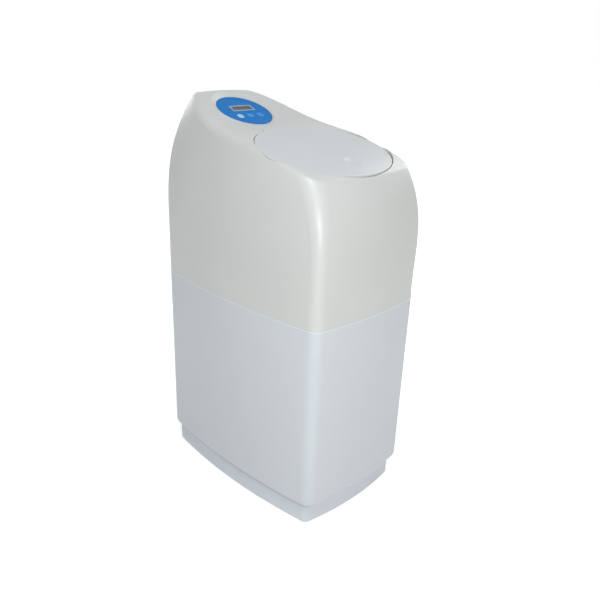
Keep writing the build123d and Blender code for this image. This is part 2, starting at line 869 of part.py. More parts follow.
module_top = -panel_thickness - display_clearance
with BuildPart() as display_module:
    with BuildSketch(panel_plane.offset(module_top - module_thickness)):
        with Locations((0, display_offset)):
            Rectangle(display_width + module_border * 2, display_length + module_border * 2)
    extrude(amount=module_thickness, dir=panel_plane.z_dir)
    with BuildSketch(panel_plane.offset(-board_drop)):
        for side in (-1, 1):
            with Locations((side * display_width / 2, display_offset)):
                Rectangle(module_border, display_length)
    extrude(amount=board_drop + module_top - module_thickness, dir=panel_plane.z_dir)
save("display_module", display_module.part)

# Circuit board inside the box, with a key switch under each button
with BuildPart() as control_board:
    with BuildSketch(panel_plane.offset(-board_drop - board_thickness)):
        Rectangle(housing_width - housing_wall * 2, housing_length - housing_wall * 2)
    extrude(amount=board_thickness, dir=panel_plane.z_dir)
    with BuildSketch(panel_plane.offset(-board_drop)):
        with Locations(*button_places):
            Rectangle(switch_size, switch_size)
    extrude(amount=switch_height, dir=panel_plane.z_dir)
save("control_board", control_board.part)

# Three round buttons that slide in the panel and press on the board's switches
button_names = ("button_left", "button_middle", "button_right")
for name, place in zip(button_names, button_places):
    flange_top = -panel_thickness - display_clearance
    stem_end = -board_drop + switch_height + button_travel + button_clearance
    with BuildPart() as button:
        with BuildSketch(panel_plane.offset(flange_top)):
            with Locations(place):
                Circle(button_radius)
        extrude(amount=button_proud - flange_top, dir=panel_plane.z_dir)
        crown = button.faces().sort_by(Axis.Z)[-1]
        chamfer(crown.edges(), length=button_proud / 2)
        with BuildSketch(panel_plane.offset(flange_top)):
            with Locations(place):
                Circle(button_radius + button_flange)
        extrude(amount=-button_flange_height, dir=panel_plane.z_dir)
        with BuildSketch(panel_plane.offset(flange_top)):
            with Locations(place):
                Circle(button_stem_radius)
        extrude(amount=stem_end - flange_top, dir=panel_plane.z_dir)
    save(name, button.part)

# Round socket for the low-voltage supply, in the cover's back wall
with BuildPart() as power_socket:
    with BuildSketch(Plane.XZ.offset(-socket_face - socket_flange_height)):
        with Locations((socket_x, socket_height)):
            Circle(socket_flange_radius)
    extrude(amount=socket_flange_height)
    with BuildSketch(Plane.XZ.offset(-socket_face)):
        with Locations((socket_x, socket_height)):
            Circle(socket_radius)
    extrude(amount=socket_length)
    with BuildSketch(Plane.XZ.offset(-socket_face - socket_flange_height)):
        with Locations((socket_x, socket_height)):
            Circle(socket_bore)
    extrude(amount=socket_bore_depth, mode=Mode.SUBTRACT)
save("power_socket", power_socket.part)

def vessel_face(inset):
    """Half section of the vessel about its axis, drawn in by an inset."""
    side = vessel_radius - inset
    foot = vessel_base + inset
    shoulder = vessel_top - vessel_neck_height - inset
    neck = vessel_neck_radius - inset
    crown = (side**2 + vessel_dome**2) / (vessel_dome * 2)
    sag = crown - math.sqrt(crown**2 - (side / 2) ** 2)
    with BuildSketch(vessel_section) as section:
        with BuildLine():
            ThreePointArc((0, foot), (side / 2, foot + sag), (side, foot + vessel_dome))
            Line((side, foot + vessel_dome), (side, shoulder - vessel_dome))
            ThreePointArc(
                (side, shoulder - vessel_dome), (side / 2, shoulder - sag), (0, shoulder)
            )
            Line((0, shoulder), (0, foot))
        make_face()
        knuckles = section.vertices().group_by(Axis.X)[-1]
        fillet(knuckles, radius=vessel_knuckle - inset)
        with BuildLine():
            Polyline(
                (0, foot + vessel_dome),
                (neck, foot + vessel_dome),
                (neck, vessel_top),
                (0, vessel_top),
                (0, foot + vessel_dome),
            )
        make_face()
    return section.sketch


# Pressure vessel: a wound tank with domed ends and a thick threaded neck
with BuildPart() as resin_vessel:
    add(vessel_face(0.0))
    revolve(axis=vessel_axis)
    add(vessel_face(vessel_wall))
    revolve(axis=vessel_axis, mode=Mode.SUBTRACT)
    with BuildSketch(Plane.XY.offset(vessel_top)):
        with Locations((0, vessel_centre_y)):
            Circle(vessel_neck_radius)
            Circle(vessel_neck_bore, mode=Mode.SUBTRACT)
    extrude(amount=-vessel_neck_height)
    with BuildSketch(Plane.XY.offset(vessel_top)):
        with Locations((0, vessel_centre_y)):
            Circle(vessel_neck_bore)
    extrude(amount=-vessel_neck_height - vessel_wall * 2, mode=Mode.SUBTRACT)
save("resin_vessel", resin_vessel.part)

# Vessel boot: the round foot that the domed bottom stands in
boot_inner = vessel_radius + boot_clearance
boot_crown = (boot_inner**2 + vessel_dome**2) / (vessel_dome * 2)
boot_sag = boot_crown - math.sqrt(boot_crown**2 - (boot_inner / 2) ** 2)
with BuildPart() as vessel_boot:
    with BuildSketch(Plane.XY.offset(vessel_base)):
        with Locations((0, vessel_centre_y)):
            Circle(boot_inner + boot_wall)
    extrude(amount=boot_height)
    chamfer(vessel_boot.edges().sort_by(Axis.Z)[-1], length=boot_wall / 2)
    with BuildSketch(vessel_section) as boot_section:
        with BuildLine():
            ThreePointArc(
                (0, vessel_base),
                (boot_inner / 2, vessel_base + boot_sag),
                (boot_inner, vessel_base + vessel_dome),
            )
            Line((boot_inner, vessel_base + vessel_dome), (boot_inner, vessel_top))
            Line((boot_inner, vessel_top), (0, vessel_top))
            Line((0, vessel_top), (0, vessel_base))
        make_face()
        boot_knuckle = boot_section.vertices().group_by(Axis.X)[-1].sort_by(Axis.Y)[0]
        fillet(boot_knuckle, radius=vessel_knuckle)
    revolve(axis=vessel_axis, mode=Mode.SUBTRACT)
    with BuildSketch(Plane.XY.offset(vessel_base)):
        with Locations((0, vessel_centre_y)):
            Circle(boot_inner / 2)
    extrude(amount=boot_height, mode=Mode.SUBTRACT)
save("vessel_boot", vessel_boot.part)

# Resin bed: the packed beads fill the lower part of the vessel round the riser
resin_top = vessel_base + (vessel_height - vessel_neck_height) * resin_fill_share
basket_floor = vessel_base + vessel_wall + lower_basket_lift
basket_top = basket_floor + lower_basket_height
with BuildPart() as resin_bed:
    add(vessel_face(vessel_wall + resin_clearance))
    revolve(axis=vessel_axis)
    with BuildSketch(Plane.XY.offset(resin_top)):
        with Locations((0, vessel_centre_y)):
            Circle(vessel_radius)
    extrude(amount=vessel_height, mode=Mode.SUBTRACT)
    with BuildSketch(Plane.XY.offset(vessel_base)):
        with Locations((0, vessel_centre_y)):
            Circle(riser_radius + resin_clearance)
    extrude(amount=vessel_height, mode=Mode.SUBTRACT)
    with BuildSketch(Plane.XY.offset(vessel_base)):
        with Locations((0, vessel_centre_y)):
            Circle(lower_basket_radius + resin_clearance)
    extrude(amount=basket_top + resin_clearance - vessel_base, mode=Mode.SUBTRACT)
save("resin_bed", resin_bed.part)

# Riser tube: carries treated water from the bottom basket up into the valve
valve_spigot_drop = upper_basket_height / 2
riser_top = vessel_top + valve_flange_height
riser_foot = basket_floor + lower_basket_height / 3
with BuildPart() as riser_tube:
    with BuildSketch(Plane.XY.offset(riser_foot)):
        with Locations((0, vessel_centre_y)):
            Circle(riser_radius)
            Circle(riser_bore, mode=Mode.SUBTRACT)
    extrude(amount=riser_top - riser_foot)
save("riser_tube", riser_tube.part)


def basket(foot, height, radius, inner_radius):
    """A strainer round the riser: a slotted cup with a closed floor ring."""
    with BuildPart() as cup:
        with BuildSketch(Plane.XY.offset(foot)):
            with Locations((0, vessel_centre_y)):
                Circle(radius)
        extrude(amount=height)
        with BuildSketch(Plane.XY.offset(foot + basket_wall)):
            with Locations((0, vessel_centre_y)):
                Circle(radius - basket_wall)
                Circle(inner_radius + basket_wall, mode=Mode.SUBTRACT)
        extrude(amount=height - basket_wall * 2, mode=Mode.SUBTRACT)
        with BuildSketch(Plane.XY.offset(foot + basket_wall * 2)):
            with Locations((0, vessel_centre_y)):
                with PolarLocations(radius, basket_slot_count):
                    Rectangle(radius / 2, basket_slot_width)
        extrude(amount=height - basket_wall * 4, mode=Mode.SUBTRACT)
    return cup


lower_basket = basket(basket_floor, lower_basket_height, lower_basket_radius, riser_radius)
with BuildPart() as lower_distributor:
    add(lower_basket.part)
    with BuildSketch(Plane.XY.offset(riser_foot)):
        with Locations((0, vessel_centre_y)):
            Circle(riser_radius + riser_clearance)
    extrude(amount=lower_basket_height, mode=Mode.SUBTRACT)
save("lower_distributor", lower_distributor.part)

upper_foot = vessel_top - valve_spigot_drop - upper_basket_height
upper_basket = basket(upper_foot, upper_basket_height, upper_basket_radius, riser_radius)
with BuildPart() as upper_distributor:
    add(upper_basket.part)
    with BuildSketch(Plane.XY.offset(upper_foot - cut_overrun)):
        with Locations((0, vessel_centre_y)):
            Circle(riser_radius + riser_clearance)
    extrude(amount=upper_basket_height + cut_overrun * 2, mode=Mode.SUBTRACT)
save("upper_distributor", upper_distributor.part)

# Control valve body: a moulded body on the vessel's neck with a chamber for the discs, two
# ports to the back, a brine and a drain port at the sides and an injector seat in front
spigot_foot = vessel_top - valve_spigot_drop
flange_top = vessel_top + valve_flange_height
port_places = (-port_spacing / 2, port_spacing / 2)
disc_port_centres = [
    (0, vessel_centre_y - disc_port_place),
    (-disc_port_side, vessel_centre_y + disc_port_back),
    (disc_port_side, vessel_centre_y + disc_port_back),
]
injector_level = valve_top - injector_drop
injector_face = vessel_centre_y - valve_body_radius - injector_boss_height
with BuildPart() as valve_body:
    with BuildSketch(Plane.XY.offset(spigot_foot)):
        with Locations((0, vessel_centre_y)):
            Circle(vessel_neck_bore - valve_spigot_clearance)
    extrude(amount=valve_spigot_drop)
    with BuildSketch(Plane.XY.offset(vessel_top)):
        with Locations((0, vessel_centre_y)):
            Circle(valve_flange_radius)
    extrude(amount=valve_flange_height)
    with BuildSketch(Plane.XY.offset(flange_top)):
        with Locations((0, vessel_centre_y)):
            Circle(valve_body_radius)
    extrude(amount=valve_top - flange_top)
    with BuildSketch(Plane.XY.offset(valve_top)):
        with Locations((0, vessel_centre_y)):
            Circle(valve_top_flange_radius)
    extrude(amount=-valve_top_flange_height)
    with BuildSketch(Plane.XZ.offset(-vessel_centre_y)):
        with Locations((port_places[0], port_level), (port_places[1], port_level)):
            Circle(port_radius)
    extrude(amount=-port_reach)
    with BuildSketch(Plane.YZ.offset(-side_port_reach)):
        with Locations((vessel_centre_y, side_port_level)):
            Circle(side_port_radius)
    extrude(amount=side_port_reach * 2)
    with BuildSketch(Plane.XZ.offset(-injector_face)):
        with Locations((0, injector_level)):
            Circle(injector_radius + injector_wall)
    extrude(amount=-valve_body_radius / 2)
    with BuildSketch(Plane.XY.offset(valve_top)):
        with Locations((0, vessel_centre_y)):
            Circle(disc_chamber_radius)
    extrude(amount=-disc_chamber_depth, mode=Mode.SUBTRACT)
    with BuildSketch(Plane.XY.offset(flange_top)):
        with Locations((0, vessel_centre_y)):
            Circle(riser_radius + riser_clearance)
    extrude(amount=-valve_flange_height - valve_spigot_drop, mode=Mode.SUBTRACT)
    with BuildSketch(Plane.XY.offset(chamber_floor)):
        with Locations((0, vessel_centre_y)):
            Circle(riser_bore)
    extrude(amount=flange_top - chamber_floor, mode=Mode.SUBTRACT)
    with BuildSketch(Plane.XY.offset(spigot_foot)):
        with Locations((0, vessel_centre_y)):
            Circle(passage_outer_radius)
            Circle(passage_inner_radius, mode=Mode.SUBTRACT)
    extrude(amount=valve_spigot_drop + valve_flange_height / 2, mode=Mode.SUBTRACT)
    with BuildSketch(Plane.XY.offset(chamber_floor)):
        with Locations(disc_port_centres[0]):
            Circle(disc_port_radius)
    extrude(amount=vessel_top - chamber_floor, mode=Mode.SUBTRACT)
    with BuildSketch(Plane.XY.offset(chamber_floor)):
        with Locations(*disc_port_centres[1:]):
            Circle(disc_port_radius)
    extrude(amount=port_level - chamber_floor, mode=Mode.SUBTRACT)
    with BuildSketch(Plane.XZ.offset(-port_end)):
        with Locations((port_places[0], port_level), (port_places[1], port_level)):
            Circle(port_bore)
    extrude(amount=port_reach - port_end_wall, mode=Mode.SUBTRACT)
    for side in (-1, 1):
        with BuildSketch(Plane.YZ.offset(side * disc_port_side)):
            with Locations((vessel_centre_y + disc_port_back, port_level)):
                Circle(disc_port_radius)
        extrude(amount=side * (port_spacing / 2 - disc_port_side), mode=Mode.SUBTRACT)
    with BuildSketch(Plane.YZ.offset(-side_port_reach)):
        with Locations((vessel_centre_y, side_port_level)):
            Circle(side_port_bore)
    extrude(amount=side_port_reach * 2, mode=Mode.SUBTRACT)
    with BuildSketch(Plane.XZ.offset(-injector_face)):
        with Locations((0, injector_level)):
            Circle(injector_radius)
    extrude(amount=-injector_length, mode=Mode.SUBTRACT)
    with BuildSketch(Plane.XY.offset(vessel_top)):
        with Locations((0, vessel_centre_y)):
            Circle(neck_ring_place + neck_ring_radius)
            Circle(neck_ring_place - neck_ring_radius, mode=Mode.SUBTRACT)
    extrude(amount=neck_ring_radius * 2, mode=Mode.SUBTRACT)
    with BuildSketch(Plane.XY.offset(valve_top)):
        with Locations((0, vessel_centre_y)):
            with PolarLocations(bonnet_screw_place, bonnet_screw_count, start_angle=screw_turn):
                Circle(bonnet_screw_radius + screw_clearance)
    extrude(amount=-valve_top_flange_height, mode=Mode.SUBTRACT)
save("valve_body", valve_body.part)

# Neck ring: a rubber ring between the vessel's neck and the valve's flange
with BuildPart() as neck_ring:
    with BuildSketch(Plane.XY.offset(vessel_top)):
        with Locations((0, vessel_centre_y)):
            Circle(neck_ring_place + neck_ring_radius)
            Circle(neck_ring_place - neck_ring_radius, mode=Mode.SUBTRACT)
    extrude(amount=neck_ring_radius * 2)
save("neck_ring", neck_ring.part)

# Fixed disc: a ceramic plate on the chamber's floor with one hole for each port
with BuildPart() as fixed_disc:
    with BuildSketch(Plane.XY.offset(chamber_floor)):
        with Locations((0, vessel_centre_y)):
            Circle(disc_radius)
            Circle(riser_bore, mode=Mode.SUBTRACT)
        with Locations(*disc_port_centres):
            Circle(disc_port_radius, mode=Mode.SUBTRACT)
    extrude(amount=fixed_disc_thickness)
save("fixed_disc", fixed_disc.part)

# Moving disc: turns on the fixed disc and joins two ports through a pocket underneath
moving_floor = chamber_floor + fixed_disc_thickness
moving_top = moving_floor + moving_disc_thickness
with BuildPart() as moving_disc:
    with BuildSketch(Plane.XY.offset(moving_floor)):
        with Locations((0, vessel_centre_y)):
            Circle(disc_radius)
        with Locations(*disc_port_centres[1:]):
            Circle(disc_port_radius, mode=Mode.SUBTRACT)
    extrude(amount=moving_disc_thickness)
    with BuildSketch(Plane.XY.offset(moving_floor)):
        with Locations((0, vessel_centre_y - disc_port_place / 2)):
            SlotCenterToCenter(disc_port_place, disc_port_radius * 2, rotation=90)
    extrude(amount=moving_disc_thickness / 2, mode=Mode.SUBTRACT)
    with BuildSketch(Plane.XY.offset(moving_top)):
        with Locations((0, vessel_centre_y)):
            Rectangle(tenon_length, tenon_width)
    extrude(amount=-tenon_depth, mode=Mode.SUBTRACT)
save("moving_disc", moving_disc.part)

# Drive spindle: a flange with a tenon in the moving disc and a six-sided top for the gear
spindle_shoulder = gear_level
with BuildPart() as drive_spindle:
    with BuildSketch(Plane.XY.offset(moving_top)):
        with Locations((0, vessel_centre_y)):
            Rectangle(tenon_length, tenon_width)
    extrude(amount=-tenon_depth)
    with BuildSketch(Plane.XY.offset(moving_top)):
        with Locations((0, vessel_centre_y)):
            Circle(spindle_flange_radius)
            with Locations(*[(x, y - vessel_centre_y) for x, y in disc_port_centres[1:]]):
                Circle(disc_port_radius, mode=Mode.SUBTRACT)
    extrude(amount=spindle_flange_height)
    with BuildSketch(Plane.XY.offset(moving_top)):
        with Locations((0, vessel_centre_y)):
            Circle(spindle_radius)
    extrude(amount=spindle_shoulder - moving_top)
    with BuildSketch(Plane.XY.offset(spindle_shoulder)):
        with Locations((0, vessel_centre_y)):
            RegularPolygon(spindle_top_radius, 6)
    extrude(amount=gear_thickness)
save("drive_spindle", drive_spindle.part)

# Valve bonnet: closes the chamber and guides the spindle
with BuildPart() as valve_bonnet:
    with BuildSketch(Plane.XY.offset(valve_top)):
        with Locations((0, vessel_centre_y)):
            Circle(valve_top_flange_radius)
            with PolarLocations(bonnet_screw_place, bonnet_screw_count, start_angle=screw_turn):
                Circle(bonnet_screw_radius + screw_clearance, mode=Mode.SUBTRACT)
    extrude(amount=bonnet_thickness)
    with BuildSketch(Plane.XY.offset(bonnet_top)):
        with Locations((0, vessel_centre_y)):
            Circle(bonnet_boss_radius)
    extrude(amount=bonnet_boss_height)
    with BuildSketch(Plane.XY.offset(valve_top)):
        with Locations((0, vessel_centre_y)):
            Circle(spindle_radius + spindle_clearance)
    extrude(amount=bonnet_thickness + bonnet_boss_height, mode=Mode.SUBTRACT)
save("valve_bonnet", valve_bonnet.part)

# Eight screws hold the bonnet down on the body's top flange
screw_angles = [screw_turn + 360 / bonnet_screw_count * step for step in range(bonnet_screw_count)]
bonnet_screw_places = [
    (
        bonnet_screw_place * math.cos(math.radians(angle)),
        vessel_centre_y + bonnet_screw_place * math.sin(math.radians(angle)),
    )
    for angle in screw_angles
]
bonnet_screws = ring_of_screws(
    bonnet_screw_places,
    bonnet_top,
    bonnet_screw_radius,
    bonnet_screw_length,
    bonnet_screw_head_radius,
    bonnet_screw_head_height,
)
save("bonnet_screws", bonnet_screws)

# Injector cap: a threaded plug in front that gives access to the nozzle behind it
with BuildPart() as injector_cap:
    with BuildSketch(Plane.XZ.offset(-injector_face)):
        with Locations((0, injector_level)):
            Circle(injector_radius - screw_clearance)
    extrude(amount=-injector_length)
    with BuildSketch(Plane.XZ.offset(-injector_face)):
        with Locations((0, injector_level)):
            RegularPolygon(injector_radius + injector_wall, 6)
    extrude(amount=injector_head_height)
save("injector_cap", injector_cap.part)


def gear_outline(teeth, turn):
    """Gear profile about the sketch origin, each flank an arc close to its involute."""
    pitch = gear_module * teeth / 2
    base = pitch * math.cos(math.radians(pressure_angle))
    tip = pitch + gear_module * gear_addendum_share
    root = pitch - gear_module * gear_dedendum_share
    lean = math.tan(math.radians(pressure_angle)) - math.radians(pressure_angle)
    half_tooth = math.pi / (2 * teeth) - gear_backlash / (4 * pitch)

    def flank(radius):
        """Angle between the tooth's middle and its flank at a radius."""
        opening = math.acos(min(1.0, base / radius))
        return half_tooth + lean - (math.tan(opening) - opening)

    def place(radius, angle):
        """Point at a radius and an angle from the tooth's middle."""
        return (radius * math.cos(angle), radius * math.sin(angle))

    start = max(base, root)
    middle = (start + tip) / 2
    with BuildSketch() as outline:
        with BuildLine():
            for tooth in range(teeth):
                centre = math.radians(turn) + 2 * math.pi * tooth / teeth
                following = centre + 2 * math.pi / teeth
                foot = place(root, centre - flank(start))
                if start > root:
                    Line(foot, place(start, centre - flank(start)))
                ThreePointArc(
                    place(start, centre - flank(start)),
                    place(middle, centre - flank(middle)),
                    place(tip, centre - flank(tip)),
                )
                Line(place(tip, centre - flank(tip)), place(tip, centre + flank(tip)))
                ThreePointArc(
                    place(tip, centre + flank(tip)),
                    place(middle, centre + flank(middle)),
                    place(start, centre + flank(start)),
                )
                if start > root:
                    Line(place(start, centre + flank(start)), place(root, centre + flank(start)))
                Line(place(root, centre + flank(start)), place(root, following - flank(start)))
        make_face()
    return outline.sketch


# Drive gear: turns the spindle; its web has round windows
with BuildPart() as drive_gear:
    with BuildSketch(Plane.XY.offset(gear_level)):
        with Locations((0, vessel_centre_y)):
            add(gear_outline(drive_gear_teeth, 0))
            RegularPolygon(spindle_top_radius, 6, mode=Mode.SUBTRACT)
    extrude(amount=gear_thickness)
    gear_pitch_radius = gear_module * drive_gear_teeth / 2
    window_place = (gear_pitch_radius + gear_hub_radius) / 2
    with BuildSketch(Plane.XY.offset(gear_level)):
        with Locations((0, vessel_centre_y)):
            with PolarLocations(window_place, gear_window_count):
                Circle(gear_window_radius)
    extrude(amount=gear_thickness, mode=Mode.SUBTRACT)
save("drive_gear", drive_gear.part)

# Motor pinion: drives the gear from the motor's shaft
motor_centre = (0, vessel_centre_y - gear_distance)
with BuildPart() as motor_pinion:
    with BuildSketch(Plane.XY.offset(gear_level)):
        with Locations(motor_centre):
            add(gear_outline(pinion_teeth, 180 / pinion_teeth))
            Circle(motor_shaft_radius, mode=Mode.SUBTRACT)
    extrude(amount=gear_thickness)
save("motor_pinion", motor_pinion.part)

# Motor bracket: a plate over the gears on four posts that stand on the bonnet
post_places = [
    (
        bracket_post_place * math.cos(math.radians(angle)),
        vessel_centre_y + bracket_post_place * math.sin(math.radians(angle)),
    )
    for angle in (45, 135, 225, 315)
]
motor_screw_places = [
    (motor_centre[0] - motor_ear_spacing / 2, motor_centre[1]),
    (motor_centre[0] + motor_ear_spacing / 2, motor_centre[1]),
]
with BuildPart() as motor_bracket:
    with BuildSketch(Plane.XY.offset(bracket_level)):
        with Locations(*post_places):
            Circle(bracket_post_radius * 2)
        with Locations(*motor_screw_places):
            Circle(bracket_post_radius * 2)
        make_hull()
        with Locations((0, vessel_centre_y)):
            Circle(bracket_window_radius, mode=Mode.SUBTRACT)
        with Locations(motor_centre):
            Circle(motor_shaft_radius * 2, mode=Mode.SUBTRACT)
        with Locations(*motor_screw_places):
            Circle(motor_screw_radius + screw_clearance, mode=Mode.SUBTRACT)
    extrude(amount=bracket_thickness)
    with BuildSketch(Plane.XY.offset(bonnet_top)):
        with Locations(*post_places):
            Circle(bracket_post_radius)
    extrude(amount=bracket_level - bonnet_top)
save("motor_bracket", motor_bracket.part)

# Drive motor: a flat geared motor with two ears, its shaft reaching down into the pinion
motor_level = bracket_level + bracket_thickness
with BuildPart() as drive_motor:
    with BuildSketch(Plane.XY.offset(motor_level)):
        with Locations(motor_centre):
            Circle(motor_radius)
    extrude(amount=motor_height)
    chamfer(drive_motor.edges().sort_by(Axis.Z)[-1], length=motor_edge_round)
    with BuildSketch(Plane.XY.offset(motor_level)):
        with Locations(motor_centre):
            SlotCenterToCenter(motor_ear_spacing, motor_ear_radius * 2)
        with Locations(*motor_screw_places):
            Circle(motor_screw_radius + screw_clearance, mode=Mode.SUBTRACT)
    extrude(amount=motor_ear_thickness)
    with BuildSketch(Plane.XY.offset(motor_level)):
        with Locations(motor_centre):
            Circle(motor_shaft_radius - motor_shaft_clearance)
    extrude(amount=gear_level - motor_level)
save("drive_motor", drive_motor.part)

motor_screws = ring_of_screws(
    motor_screw_places,
    motor_level + motor_ear_thickness,
    motor_screw_radius,
    motor_ear_thickness + bracket_thickness,
    motor_ear_radius,
    motor_ear_thickness,
)
save("motor_screws", motor_screws)

# Turbine cage: a sleeve in the outlet port with a spoked bearing at each end
outlet_x = port_places[0]
cage_length = turbine_length + (turbine_gap + cage_spoke_thickness) * 2
cage_face = port_end - cage_inset
cage_radius = port_bore - cage_clearance
with BuildPart() as turbine_cage:
    with BuildSketch(Plane.XZ.offset(-cage_face)):
        with Locations((outlet_x, port_level)):
            Circle(cage_radius)
            Circle(cage_radius - cage_wall, mode=Mode.SUBTRACT)
    extrude(amount=cage_length)
    for face in (cage_face, cage_face - cage_length + cage_spoke_thickness):
        with BuildSketch(Plane.XZ.offset(-face)):
            with Locations((outlet_x, port_level)):
                Rectangle(cage_radius * 2 - cage_wall, cage_spoke_width)
                Rectangle(cage_spoke_width, cage_radius * 2 - cage_wall)
                Circle(turbine_hub_radius)
                Circle(turbine_pin_radius + turbine_pin_clearance, mode=Mode.SUBTRACT)
        extrude(amount=cage_spoke_thickness)
save("turbine_cage", turbine_cage.part)

# Flow turbine: a bladed rotor on a thin pin that spins in the water leaving the valve
turbine_face = cage_face - cage_spoke_thickness - turbine_gap
with BuildPart() as flow_turbine:
    with BuildSketch(Plane.XZ.offset(-turbine_face)):
        with Locations((outlet_x, port_level)):
            Circle(turbine_hub_radius)
            with PolarLocations(turbine_radius / 2, turbine_blade_count):
                Rectangle(turbine_radius, turbine_blade_thickness)
    extrude(amount=turbine_length)
    with BuildSketch(Plane.XZ.offset(-turbine_face - turbine_gap - cage_spoke_thickness)):
        with Locations((outlet_x, port_level)):
            Circle(turbine_pin_radius)
    extrude(amount=cage_length)
save("flow_turbine", flow_turbine.part)

# Bypass valve behind the notch: two ported chambers joined by a cross passage, with a
# collar and a three-quarter-inch pipe thread at the end of each line
bypass_start = port_end + bypass_gap
chamber_y = bypass_start + bypass_chamber_place
thread_start = bypass_start + bypass_length
thread_face = thread_start + pipe_thread_length
chamber_foot = port_level - bypass_chamber_height / 2
chamber_rim = port_level + bypass_chamber_height / 2
line_places = ((port_places[0], port_level), (port_places[1], port_level))
chamber_places = ((port_places[0], chamber_y), (port_places[1], chamber_y))
with BuildPart() as bypass_body:
    with BuildSketch(Plane.XZ.offset(-bypass_start)):
        with Locations(*line_places):
            Circle(port_radius)
    extrude(amount=-bypass_length)
    with BuildSketch(Plane.XZ.offset(-thread_start + pipe_collar_length)):
        with Locations(*line_places):
            RegularPolygon(pipe_collar_radius, 6)
    extrude(amount=-pipe_collar_length)
    with BuildSketch(Plane.XZ.offset(-thread_start)):
        with Locations(*line_places):
            Circle(pipe_thread_radius)
    extrude(amount=-pipe_thread_length)
    with BuildSketch(Plane.XY.offset(chamber_foot)):
        with Locations(*chamber_places):
            Circle(bypass_chamber_radius)
    extrude(amount=bypass_chamber_height)
    with BuildSketch(Plane.YZ.offset(port_places[0])):
        with Locations((chamber_y, port_level)):
            Circle(bypass_cross_radius)
    extrude(amount=port_spacing)
    with BuildSketch(Plane.XZ.offset(-thread_face)):
        with Locations(*line_places):
            Circle(port_bore)
    extrude(amount=thread_face - bypass_start, mode=Mode.SUBTRACT)
    with BuildSketch(Plane.YZ.offset(port_places[0])):
        with Locations((chamber_y, port_level)):
            Circle(rotor_bore)
    extrude(amount=port_spacing, mode=Mode.SUBTRACT)
    with BuildSketch(Plane.XY.offset(chamber_rim)):
        with Locations(*chamber_places):
            Circle(rotor_radius + rotor_clearance)
    extrude(amount=rotor_floor - bypass_chamber_height, mode=Mode.SUBTRACT)
save("bypass_body", bypass_body.part)

# Each rotor turns in its chamber and sends the water through or across
rotor_foot = chamber_foot + rotor_floor
rotor_rim = rotor_foot + rotor_height
cap_rim = chamber_rim + chamber_cap_height
knob_foot = cap_rim + knob_gap
rotor_names = ("bypass_rotor_outlet", "bypass_rotor_inlet")
for name, place in zip(rotor_names, chamber_places):
    with BuildPart() as rotor:
        with BuildSketch(Plane.XY.offset(rotor_foot)):
            with Locations(place):
                Circle(rotor_radius)
        extrude(amount=rotor_height)
        with BuildSketch(Plane.XZ.offset(-chamber_y - rotor_radius - cut_overrun)):
            with Locations((place[0], port_level)):
                Circle(rotor_bore)
        extrude(amount=(rotor_radius + cut_overrun) * 2, mode=Mode.SUBTRACT)
        with BuildSketch(Plane.XY.offset(rotor_rim)):
            with Locations(place):
                Circle(rotor_stem_radius)
        extrude(amount=knob_foot - rotor_rim)
        with BuildSketch(Plane.XY.offset(knob_foot)):
            with Locations(place):
                RegularPolygon(rotor_stem_radius, 4)
        extrude(amount=knob_stem_seat)
    save(name, rotor.part)

# Two caps close the chambers round the rotors' stems
with BuildPart() as chamber_caps:
    with BuildSketch(Plane.XY.offset(chamber_rim)):
        with Locations(*chamber_places):
            Circle(bypass_chamber_radius)
            Circle(rotor_stem_radius + rotor_clearance, mode=Mode.SUBTRACT)
    extrude(amount=chamber_cap_height)
    with BuildSketch(Plane.XY.offset(chamber_rim)):
        with Locations(*chamber_places):
            Circle(rotor_radius - cap_clearance)
            Circle(rotor_stem_radius + rotor_clearance, mode=Mode.SUBTRACT)
    extrude(amount=rotor_rim + cap_clearance - chamber_rim)
save("chamber_caps", chamber_caps.part)

# Hand knobs on the rotors' stems: a round foot with a straight grip across it
knob_names = ("bypass_knob_outlet", "bypass_knob_inlet")
for name, place in zip(knob_names, chamber_places):
    with BuildPart() as knob:
        with BuildSketch(Plane.XY.offset(knob_foot)):
            with Locations(place):
                Circle(knob_radius)
        extrude(amount=knob_height)
        chamfer(knob.edges().sort_by(Axis.Z)[-1], length=knob_edge_round)
        with BuildSketch(Plane.XY.offset(knob_foot + knob_height)):
            with Locations(place):
                SlotOverall(knob_grip_length, knob_grip_width, rotation=90)
        extrude(amount=knob_grip_height)
        with BuildSketch(Plane.XY.offset(knob_foot)):
            with Locations(place):
                RegularPolygon(rotor_stem_radius, 4)
        extrude(amount=knob_stem_seat, mode=Mode.SUBTRACT)
    save(name, knob.part)

# Twelve-sided union nuts join the valve's two ports to the bypass
union_start = port_end - union_length / 2
with BuildPart() as union_nuts:
    with BuildSketch(Plane.XZ.offset(-union_start)):
        with Locations(*line_places):
            RegularPolygon(union_radius, union_side_count)
            Circle(port_radius + union_clearance, mode=Mode.SUBTRACT)
    extrude(amount=-union_length)
save("union_nuts", union_nuts.part)

